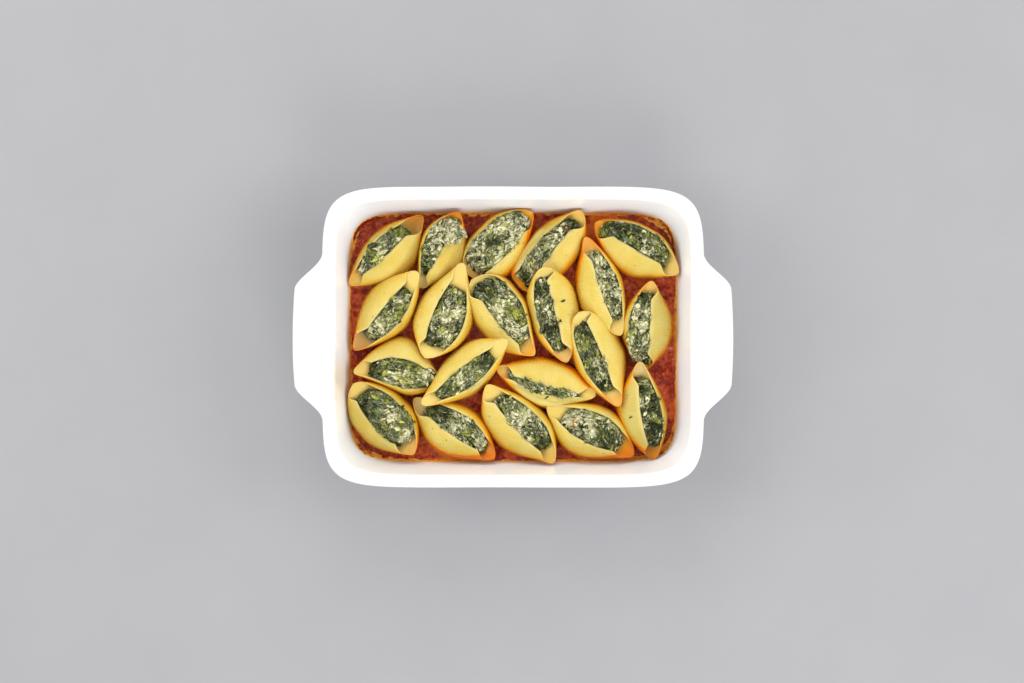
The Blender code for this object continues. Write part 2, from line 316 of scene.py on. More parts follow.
def cooked_pasta():
    """Yellow pasta, golden along its outline, orange where sauce has soaked in, paler on its rims.

    The gold along the outline is partly the pasta's own colour and partly painted shade where the wall
    turns down. The paler rims are partly a painted highlight. The lighter cream of the inner face is painted
    light against the shade inside, and the brown and beige in the tips' hollows are painted shade.
    """
    yellow, pale_yellow, olive = (0.574, 0.429, 0.074), (0.602, 0.481, 0.126), (0.420, 0.355, 0.109)
    hollow_cream_painted_light, gold, pale_rim_and_highlight = (0.658, 0.533, 0.168), (0.644, 0.348, 0.017), (0.602, 0.511, 0.210)
    light_amber, deep_amber, brown_tip_shade = (0.700, 0.296, 0.010), (0.630, 0.155, 0.004), (0.322, 0.137, 0.015)
    beige, dusty = (0.434, 0.326, 0.185), (0.385, 0.311, 0.168)
    finish = Finish("cooked_pasta", Coat_Weight=0.04, Coat_Roughness=0.25, Specular_IOR_Level=0.22,
                    Subsurface_Weight=0.35, Subsurface_Radius=(1.0, 0.55, 0.15), Subsurface_Scale=0.0022)
    clouds = finish.noise(0.012, 3.0)
    fine = finish.noise(0.0016, 3.0)
    dull = finish.mark("dull")
    colour = finish.mix(yellow, pale_yellow, clouds.step(0.3, 0.7))
    colour = finish.mix(colour, olive, dull)
    # Painted light: the inner face takes a lighter cream to make up for the shade inside the shell.
    colour = finish.mix(colour, hollow_cream_painted_light, finish.mark("hollow"))
    # Gold: partly the pasta's own colour, partly painted shade where the wall turns down towards its
    # outline.
    colour = finish.mix(colour, gold, finish.mark("gold"))
    # Paler rims: partly the pasta's own paler edge, partly a painted highlight along the lips.
    colour = finish.mix(colour, pale_rim_and_highlight, finish.mark("rim") * 0.8)
    soak = (finish.mark("soak") + (finish.noise(0.0045, 3.0) - 0.5) * 0.6).step(0.10, 0.90)
    amber = finish.mix(light_amber, deep_amber, finish.mark("soak").step(0.70, 1.30))
    colour = finish.mix(colour, amber, soak)
    # Painted shade: brown and beige in the tips' hollows.
    colour = finish.mix(colour, brown_tip_shade, finish.mark("brown") * 0.85)
    colour = finish.mix(colour, beige, finish.mark("beige") * 0.75)
    colour = finish.mix(colour, dusty, fine.step(0.60, 0.80) * 0.12)
    roughness = 0.34 + fine * 0.14 - soak * 0.10
    relief = finish.bump(finish.noise(0.0030, 3.0), 0.00012)
    return finish.done(colour, roughness, finish.bump(finish.noise(0.0006, 2.0), 0.00002, relief))


def baked_sauce():
    """Wet, dark red-brown tomato sauce with pulp and pips, brighter where thin and oily at its shores."""
    dark_red, red_brown, pip = (0.250, 0.015, 0.003), (0.600, 0.105, 0.024), (0.581, 0.259, 0.148)
    bright_red, orange_oil = (0.820, 0.175, 0.014), (0.607, 0.194, 0.010)
    finish = Finish("baked_tomato_sauce", Coat_Weight=0.25, Coat_Roughness=0.05, Specular_IOR_Level=0.14)
    pulp = finish.noise(0.0034, 5.0, 0.62, 0.4)
    grit = finish.noise(0.0010, 3.0)
    clouds = finish.noise(0.013, 3.0, 0.55, 0.6)
    colour = finish.mix(dark_red, red_brown, (pulp * 0.55 + clouds * 0.45).step(0.42, 0.60))
    between_pips = (finish.cells(0.0046) + finish.noise(0.0020) * 0.25).step(0.20, 0.30)
    colour = finish.mix(pip, colour, between_pips * 0.55 + 0.45)
    colour = finish.mix(colour, bright_red, (finish.mark("thin") + (pulp - 0.5) * 0.6).step(0.10, 0.60))
    oil = (finish.mark("oil") + (finish.noise(0.0022, 3.0) - 0.5) * 0.8).step(0.30, 0.75)
    colour = finish.mix(colour, orange_oil, oil)
    roughness = 0.10 + grit * 0.16
    relief = finish.bump(pulp, 0.0011)
    return finish.done(colour, roughness, finish.bump(grit, 0.00016, relief))


def dried_sauce():
    """Sauce baked on to the dish: orange oil at its thin edge, dark red where it is thick."""
    pale_orange, deep_orange, dark_red = (0.950, 0.560, 0.110), (0.930, 0.310, 0.022), (0.255, 0.020, 0.005)
    finish = Finish("baked_on_sauce", Coat_Weight=0.6, Coat_Roughness=0.12, Specular_IOR_Level=0.5)
    patches = finish.noise(0.0035, 4.0, 0.6, 0.3)
    thick = (finish.mark("thick") + (patches - 0.5) * 1.1).step(0.25, 0.75)
    orange = finish.mix(pale_orange, deep_orange, patches.step(0.35, 0.65))
    colour = finish.mix(orange, dark_red, thick)
    roughness = 0.20 + finish.noise(0.0012, 2.0) * 0.25
    return finish.done(colour, roughness, finish.bump(finish.noise(0.0013, 3.0), 0.00025))


def chopped_filling():
    """Wilted spinach in ricotta: each scrap has its own green, and ricotta lies on them in curling strokes.

    The strokes are where a noise drawn out along the filling is close to its middle value, and they widen
    where ricotta gathers.
    """
    vein, thin_cream, thick_cream = (0.010, 0.015, 0.003), (0.340, 0.342, 0.114), (0.740, 0.707, 0.441)
    finish = Finish("spinach_and_ricotta", Coat_Weight=0.10, Coat_Roughness=0.12, Specular_IOR_Level=0.25)
    flow = finish.mark("flow", "Vector")
    veins = finish.noise(0.0011, 3.0, 0.6, 0.6, flow)
    broad = finish.noise(0.0062, 3.0, 0.50, 1.2, flow)
    narrow = finish.noise(0.0030, 3.0, 0.55, 0.9, flow)
    ricotta = finish.mark("ricotta")
    leaf = finish.mix(finish.mark("tint", "Color"), vein, (1.0 - veins).step(0.42, 0.66) * 0.75)
    broad_stroke = (ricotta * 0.046 + 0.032 - abs(broad - 0.5)).step(-0.008, 0.020)
    narrow_stroke = (ricotta * 0.036 + 0.024 - abs(narrow - 0.5)).step(-0.008, 0.016)
    stroke = broad_stroke.or_more(narrow_stroke * 0.75)
    cream = finish.mix(thin_cream, thick_cream, stroke.step(0.45, 1.10))
    colour = finish.mix(leaf, cream, stroke)
    roughness = 0.26 + veins * 0.25 + stroke * 0.10
    relief = finish.bump(stroke * 0.5 + broad * 0.5, 0.0007)
    return finish.done(colour, roughness, finish.bump(veins, 0.00035, relief))


def dried_herb():
    """Dark, dry scraps of herb leaf with a paler vein."""
    dark_green, grey_green = (0.016, 0.028, 0.010), (0.063, 0.078, 0.030)
    finish = Finish("chopped_herb", Specular_IOR_Level=0.3)
    veins = finish.noise(0.0007, 3.0)
    colour = finish.mix(dark_green, grey_green, veins.step(0.45, 0.75))
    return finish.done(colour, 0.5 + veins * 0.3, finish.bump(veins, 0.0001))


def pale_floor():
    """Plain pale matt floor with the faintest mottling."""
    cool_grey, light_grey = (0.285, 0.285, 0.300), (0.315, 0.315, 0.325)
    finish = Finish("pale_floor")
    clouds = finish.noise(0.08, 3.0)
    colour = finish.mix(cool_grey, light_grey, clouds)
    return finish.done(colour, 0.75 + clouds * 0.1, finish.bump(finish.noise(0.002), 0.00003))


GLAZE = glazed_stoneware()
PASTA = cooked_pasta()
SAUCE = baked_sauce()
CRUST = dried_sauce()
FILLING = chopped_filling()
HERB = dried_herb()

# ---------------------------------------------------------------- the dish

DISH_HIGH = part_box("dish")[1]
RIM_HEIGHT = DISH_HIGH.z
HALF_WIDTH = DISH_HIGH.y
RIM_LENGTH = 0.2645
RIM_BAND = 0.008
RIM_SQUARENESS = 8.0
CORNER_TIGHTENING = 20.0
WALL_THICKNESS = 0.0058
WALL_DRAFT = math.radians(10.9)
WALL_SLOPE = math.tan(WALL_DRAFT)
FLOOR_THICKNESS = 0.005
FLOOR_FILLET = 0.007
HEEL_RADIUS = 0.007
HANDLE_FLAT = 0.033
HANDLE_ROOT = 0.058
HANDLE_BOW = 0.0012
HANDLE_REACH = DISH_HIGH.x - RIM_LENGTH / 2
HANDLE_ROOT_DEPTH = 0.0105
HANDLE_EDGE_DEPTH = 0.0038
EDGE_RADIUS = 0.0032
DISH_COLUMNS = 560
UNDERSIDE_HEIGHT = 0.0006
LAST_OUTER_RING = 40
CLAY_WAVE = 0.045
CLAY_WAVE_HEIGHT = 0.00022


def inner_inset(height):
    """How far inside the rim the inner wall stands at a height: the rim's band plus the wall's slope."""
    return RIM_BAND + (RIM_HEIGHT - height) * WALL_SLOPE


def outline_power(inset):
    """The power of the dish's superellipse: 8 at the rim, and higher, so squarer, further in."""
    return RIM_SQUARENESS + CORNER_TIGHTENING * inset


def dish_outline(bearings, inset):
    """The dish's outline less inset at some bearings: the superellipse of its half sizes less inset."""
    power = outline_power(inset)
    cosine, sine = np.cos(bearings), np.sin(bearings)
    half_length, half_width = RIM_LENGTH / 2 - inset, HALF_WIDTH - inset
    radius = (np.abs(cosine / half_length) ** power + np.abs(sine / half_width) ** power) ** (-1.0 / power)
    return radius * cosine, radius * sine


def dish_ring(inset, height, reach, bearings):
    """One level ring of the dish.

    The dish's outline less inset, drawn out at both ends into the handles: flat across the middle,
    smoothstep at the shoulders, a slight bow along the edge.
    """
    x, y = dish_outline(bearings, inset)
    shoulder = smoothstep((HANDLE_ROOT - np.abs(y)) / (HANDLE_ROOT - HANDLE_FLAT))
    bow = HANDLE_REACH - HANDLE_BOW * (np.minimum(np.abs(y), HANDLE_ROOT) / HANDLE_FLAT) ** 2
    at_an_end = np.abs(x) > (RIM_LENGTH / 2 - inset) * 0.7
    return level(x + np.sign(x) * reach * shoulder * bow * at_an_end, y, height)


def even_bearings(x, y, fine, count):
    """Bearings at even steps of length along the outline x, y of the bearings in fine, and those lengths."""
    run = np.concatenate([[0.0], np.cumsum(np.hypot(np.diff(x), np.diff(y)))])
    lengths = np.linspace(0.0, run[-1], count, endpoint=False)
    return np.interp(lengths, run, fine), lengths


def round_corner(start, corner, end, count=9):
    """Points (inset, height, reach) of a quarter turn from start to end, rounding off corner."""
    turn = np.linspace(0.0, math.pi / 2, count)[:, None]
    start, corner, end = np.array(start), np.array(corner), np.array(end)
    points = corner + (start - corner) * (1.0 - np.sin(turn)) + (end - corner) * (1.0 - np.cos(turn))
    return points.tolist()


def dish_section():
    """The dish's section as points (inset, height, reach): from underneath, up outside, and down inside."""

    def outer(height):
        """How far inside the rim the outer wall stands at a height."""
        return inner_inset(height) - WALL_THICKNESS

    def side(low, high, count, inset):
        """Points up or down a wall from low to high."""
        return [(inset(h), h, 0.0) for h in np.linspace(low, high, count)]

    under = RIM_HEIGHT - HANDLE_ROOT_DEPTH
    heel, foot = outer(0.0), inner_inset(FLOOR_THICKNESS)
    turned = heel + HEEL_RADIUS
    section = [(turned + 0.0040, UNDERSIDE_HEIGHT, 0.0), (turned + 0.0030, 0.0001, 0.0)]
    section += round_corner((turned, 0.0, 0.0), (heel, 0.0, 0.0), (outer(HEEL_RADIUS), HEEL_RADIUS, 0.0))
    section += side(HEEL_RADIUS + 0.002, under - 0.003, 14, outer)
    section += round_corner((outer(under - 0.0016), under - 0.0016, 0.0),
                            (outer(under), under + 0.0004, 0.06),
                            (outer(under) - 0.0022, under + 0.0012, 0.14), 5)
    edge = RIM_HEIGHT - HANDLE_EDGE_DEPTH
    below, widest = (0.0014, edge - EDGE_RADIUS, 0.94), (0.0, edge, 1.0)
    above = (0.0012, RIM_HEIGHT - 0.0009, 0.95)
    for share in (0.25, 0.5, 0.75):
        section.append(tuple(blend(np.array(section[-1]), np.array(below), share)))
    section += round_corner(below, (-0.0002, edge - 0.0016, 0.99), widest, 4)
    section += round_corner(widest, (0.0002, RIM_HEIGHT - 0.0016, 0.99), above, 5)[1:]
    section += round_corner(above, (0.0022, RIM_HEIGHT, 0.85), (0.0040, RIM_HEIGHT, 0.55), 5)[1:]
    mouth = RIM_HEIGHT - 0.0038
    section += round_corner((0.0048, RIM_HEIGHT, 0.25), (RIM_BAND - 0.0002, RIM_HEIGHT, 0.0),
                            (inner_inset(mouth), mouth, 0.0))
    fillet_top = FLOOR_THICKNESS + FLOOR_FILLET
    section += side(mouth - 0.003, fillet_top + 0.001, 12, inner_inset)
    section += round_corner((inner_inset(fillet_top), fillet_top, 0.0),
                            (foot, FLOOR_THICKNESS, 0.0), (foot + FLOOR_FILLET, FLOOR_THICKNESS, 0.0))
    return section


def make_dish():
    """The dish: level rings carried along its section, a fan at each end, and a slight waver of the clay."""
    fine = np.linspace(-math.pi, math.pi, 40001)
    rim = dish_ring(0.0, 0.0, 1.0, fine)
    bearings = even_bearings(rim[:, 0], rim[:, 1], fine, DISH_COLUMNS)[0]
    rings = np.array([dish_ring(inset, height, reach, bearings) for inset, height, reach in dish_section()])
    drawn_in = rings * [1, 1, 0.4]
    swell = level(waver(drawn_in, CLAY_WAVE, 31), waver(drawn_in, CLAY_WAVE, 47)) * CLAY_WAVE_HEIGHT
    rows, columns = rings.shape[:2]
    middles = [[0.0, 0.0, UNDERSIDE_HEIGHT], [0.0, 0.0, FLOOR_THICKNESS]]
    points = np.concatenate([(rings + swell).reshape(-1, 3), middles])
    inside = np.concatenate([np.repeat(np.arange(rows) > LAST_OUTER_RING, columns), [0.0, 1.0]])
    x, y, z = points.T
    # Painted shade on the glaze: a beige-grey streak down the left inner wall and a faint cast over the
    # front inner wall.
    left_wall_shade = 0.90 * np.exp(-(((y + 0.030) / 0.017) ** 2)) * (x < -0.110) * (z > 0.026)
    front_wall_shade = 0.22 * smoothstep((-y - 0.080) / 0.012)
    marks = {"painted_warm_shade": np.maximum(left_wall_shade, front_wall_shade) * inside, "inside": inside}
    quads, triangles = tube_faces(rows, columns)
    return new_piece("baking_dish", points, quads, triangles, GLAZE, ["dish"], marks)


# ---------------------------------------------------------------- the pasta shells

PASTA_THICKNESS = 0.0019
PASTA_AT_TIP = 0.42
LIP_THINNING = 0.72
BELLY_HEIGHT = 0.0082
THIN_RIM_HEIGHT = 0.0365
LOBE_HEIGHT = 0.0385
TIP_HALF_WIDTH = 0.0020
TIP_DEPTH = 0.0026
THIN_POWER = 1.9
THIN_TAPER = 1.1
THIN_KNEE = 0.42
THIN_SHARE = 0.22
KEEL_SHARE = 0.42
LOBE_SHARE = 0.60
FUNNEL = 0.34
PINCH_START = 0.93
PINCH_LENGTH = 0.07
RIM_ROUNDING = 0.34
LOBE_POWER = 2.1
LOBE_TAPER = 1.3
RIDGES = 60
STATIONS = 4 * RIDGES + 1
ROUND = 41

# How far the pasta strays from its plain shape, in millimetres.
BROAD_SWAY, FINE_SWAY = 0.55, 0.16
BROAD_LIFT, FINE_LIFT = 0.55, 0.22
RIDGE_EVERYWHERE, RIDGE_LOW_DOWN, RIDGE_STRAY = 0.13, 0.42, 0.05


@dataclasses.dataclass
class Shell:
    """One pasta shell: where its tips are, how far its walls reach, and how it is coloured and filled.

    The upright wall is on its right and the rolled wall on its left. Pairs are for its near and far tip.
    """

    number: int
    heading: float  # rough bearing of the far tip, in degrees
    thin: float  # reach of the upright wall
    lobe: float  # reach of the rolled wall
    lip: float  # how far out from the middle the rolled wall's edge stays
    heap: float = 0.0015  # how far the filling is heaped up
    roll: float = 0.30  # how much of its reach the upright wall turns in
    skew: tuple = (0.0, 0.12)  # how far the two walls' bulges sit off the middle
    flares: tuple = (0.45, 0.45)  # how far from the tips the rolled wall starts to open
    blunts: tuple = (0.0, 0.0)  # how blunt the tips are
    hollows: tuple = (1.0, 1.0)  # how deep the tips look
    soaks: tuple = (0.2, 0.2)  # orange in the tips
    browns: tuple = (0.0, 0.0)  # brown painted shade in the tips' hollows
    beiges: tuple = (0.0, 0.0)  # beige painted shade in the tips' hollows
    bands: tuple = (0.4, 0.4, 0.4, 0.4)  # orange along the upright wall's outline, then the rolled wall's
    dull: float = 0.0  # how olive it is
    stretch: float = 0.0  # how far it runs on past the far tip
    ends: tuple = (-0.68, 0.68)  # where the filling starts and stops
    mix: tuple = (0.3, 0.2)  # the filling's shares of ricotta and of yellow leaf
    spill: tuple = (0.0, 0.0)  # how far the filling runs out over the upright wall
    patches: tuple = ()  # the filling's places (w, t, reach, kind) with another look

    def __post_init__(self):
        mesh = NODES[f"pasta_shell_{self.number:02d}"].data
        corners = np.zeros(len(mesh.vertices) * 3)
        mesh.vertices.foreach_get("co", corners)
        corners = corners.reshape(-1, 3)
        toward = np.array([math.cos(math.radians(self.heading)), math.sin(math.radians(self.heading))])
        along = corners[:, :2] @ toward
        self.start = self.tip(corners[along < along.min() + 0.0006])
        self.end = self.tip(corners[along > along.max() - 0.0006]) + [*(toward * self.stretch), 0.0]
        self.centre = (self.start + self.end) / 2
        self.forward = (self.end - self.start)[:2] / 2
        self.half_length = float(np.hypot(*self.forward))
        self.left = level(-self.forward[1], self.forward[0]) / self.half_length

    @staticmethod
    def tip(corners):
        """The middle of a tip's end face, at its highest point."""
        middle = (corners.max(axis=0) + corners.min(axis=0)) / 2
        return np.array([middle[0], middle[1], corners[:, 2].max()])

    def reaches(self, u):
        """Half widths (thin, lobe) at u: the tip's plus (1 - |u|^power)^taper of the rest, both skewed.

        A blunt tip has a higher power and a lower taper.
        """
        blunt = near_to_far(self.blunts, u)
        fuller, steeper = 1.0 + 1.2 * blunt, 1.0 - 0.5 * blunt
        walls = ((self.thin, THIN_POWER, THIN_TAPER), (self.lobe, LOBE_POWER, LOBE_TAPER))
        widths = []
        for (reach, power, taper), skew in zip(walls, self.skew):
            bulge = (1.0 - np.abs(u - skew * (1.0 - u * u)) ** (power * fuller)) ** (taper * steeper)
            widths.append(TIP_HALF_WIDTH + (reach - TIP_HALF_WIDTH) * bulge)
        return widths

    def heights(self, u):
        """Heights (keel, thin rim, lobe top) at u: each a parabola from its middle value to the tip's."""
        tip = (self.start[2] + self.end[2]) / 2 + u * (self.end[2] - self.start[2]) / 2
        keel = BELLY_HEIGHT + (tip - TIP_DEPTH - BELLY_HEIGHT) * np.abs(u) ** 2.0
        thin_top = THIN_RIM_HEIGHT + (tip - THIN_RIM_HEIGHT) * u * u
        lobe_top = LOBE_HEIGHT + (tip - LOBE_HEIGHT) * u * u
        return keel, thin_top, lobe_top

    def edges(self, u):
        """How far out the rims lie at u: (thin, lobe). The thin wall rolls in a little, the lobe far in.

        The lobe's rim lies at its reach times the sine of an angle that grows from 90 degrees at the tips.
        """
        opening = smoothstep((1.0 - np.abs(u)) / near_to_far(self.flares, u))
        thin_reach, lobe_reach = self.reaches(u)
        lip_angle = math.pi - math.asin(self.lip / self.lobe)
        lobe_angle = math.pi / 2 + (lip_angle - math.pi / 2) * opening
        return thin_reach * (1.0 - self.roll * opening), lobe_reach * np.sin(lobe_angle)

    def wall(self, along, around):
        """The wall's outer face, a grid of points.

        Each cross-section is four quarter ellipses: from the thin rim out and down to its widest, in to
        the keel, out to the lobe's widest, and up and over to the lobe's rim.
        """
        u = along[:, None]
        v = around[None, :]

        def quarter(start, end):
            """From 0 to a quarter turn as v goes from start to end."""
            return math.pi / 2 * np.clip((v - start) / (end - start), 0.0, 1.0)

        thin_reach, lobe_reach = self.reaches(u)
        thin_edge, lobe_edge = self.edges(u)
        keel, thin_top, lobe_top = self.heights(u)
        thin_middle = thin_top - THIN_KNEE * (thin_top - keel)
        lobe_middle = (lobe_top + keel) / 2
        over = math.pi / 2 * np.clip(1.0 - v / THIN_SHARE, 0.0, 1.0)
        under, out = quarter(THIN_SHARE, KEEL_SHARE), quarter(KEEL_SHARE, LOBE_SHARE)
        back = quarter(LOBE_SHARE, 1.0)
        thin_side = -(thin_reach - (thin_reach - thin_edge) * (1.0 - np.cos(over))) * np.cos(under)
        lobe_side = lobe_reach * np.sin(out) - (lobe_reach - lobe_edge) * (1.0 - np.cos(back))
        thin_height = thin_middle + (thin_top - thin_middle) * np.sin(over)
        thin_height = thin_height - (thin_middle - keel) * np.sin(under)
        lobe_height = lobe_middle - (lobe_middle - keel) * np.cos(out)
        lobe_height = lobe_height + (lobe_top - lobe_middle) * np.sin(back)
        side = np.where(v < KEEL_SHARE, thin_side, lobe_side)
        return self.at(u + 0.0 * side, side, np.where(v < KEEL_SHARE, thin_height, lobe_height))

    def at(self, u, side, height):
        """Points at u along the shell, side to its left and a height above the table."""
        x = self.centre[0] + self.forward[0] * u + self.left[0] * side
        y = self.centre[1] + self.forward[1] * u + self.left[1] * side
        return np.stack(np.broadcast_arrays(x, y, height), axis=-1)

    def side_of(self, points):
        """How far to its left points lie."""
        return (points - self.centre) @ self.left

    def along_filling(self, w):
        """u at w, which runs from -1 to 1 along the filling."""
        low, high = self.ends
        return (low + high) / 2 + (high - low) / 2 * w

    def random_turns(self, random, middle, spread, count):
        """Random bearings about its own turned on by middle, in radians."""
        return math.atan2(self.forward[1], self.forward[0]) + random.normal(middle, spread, count)


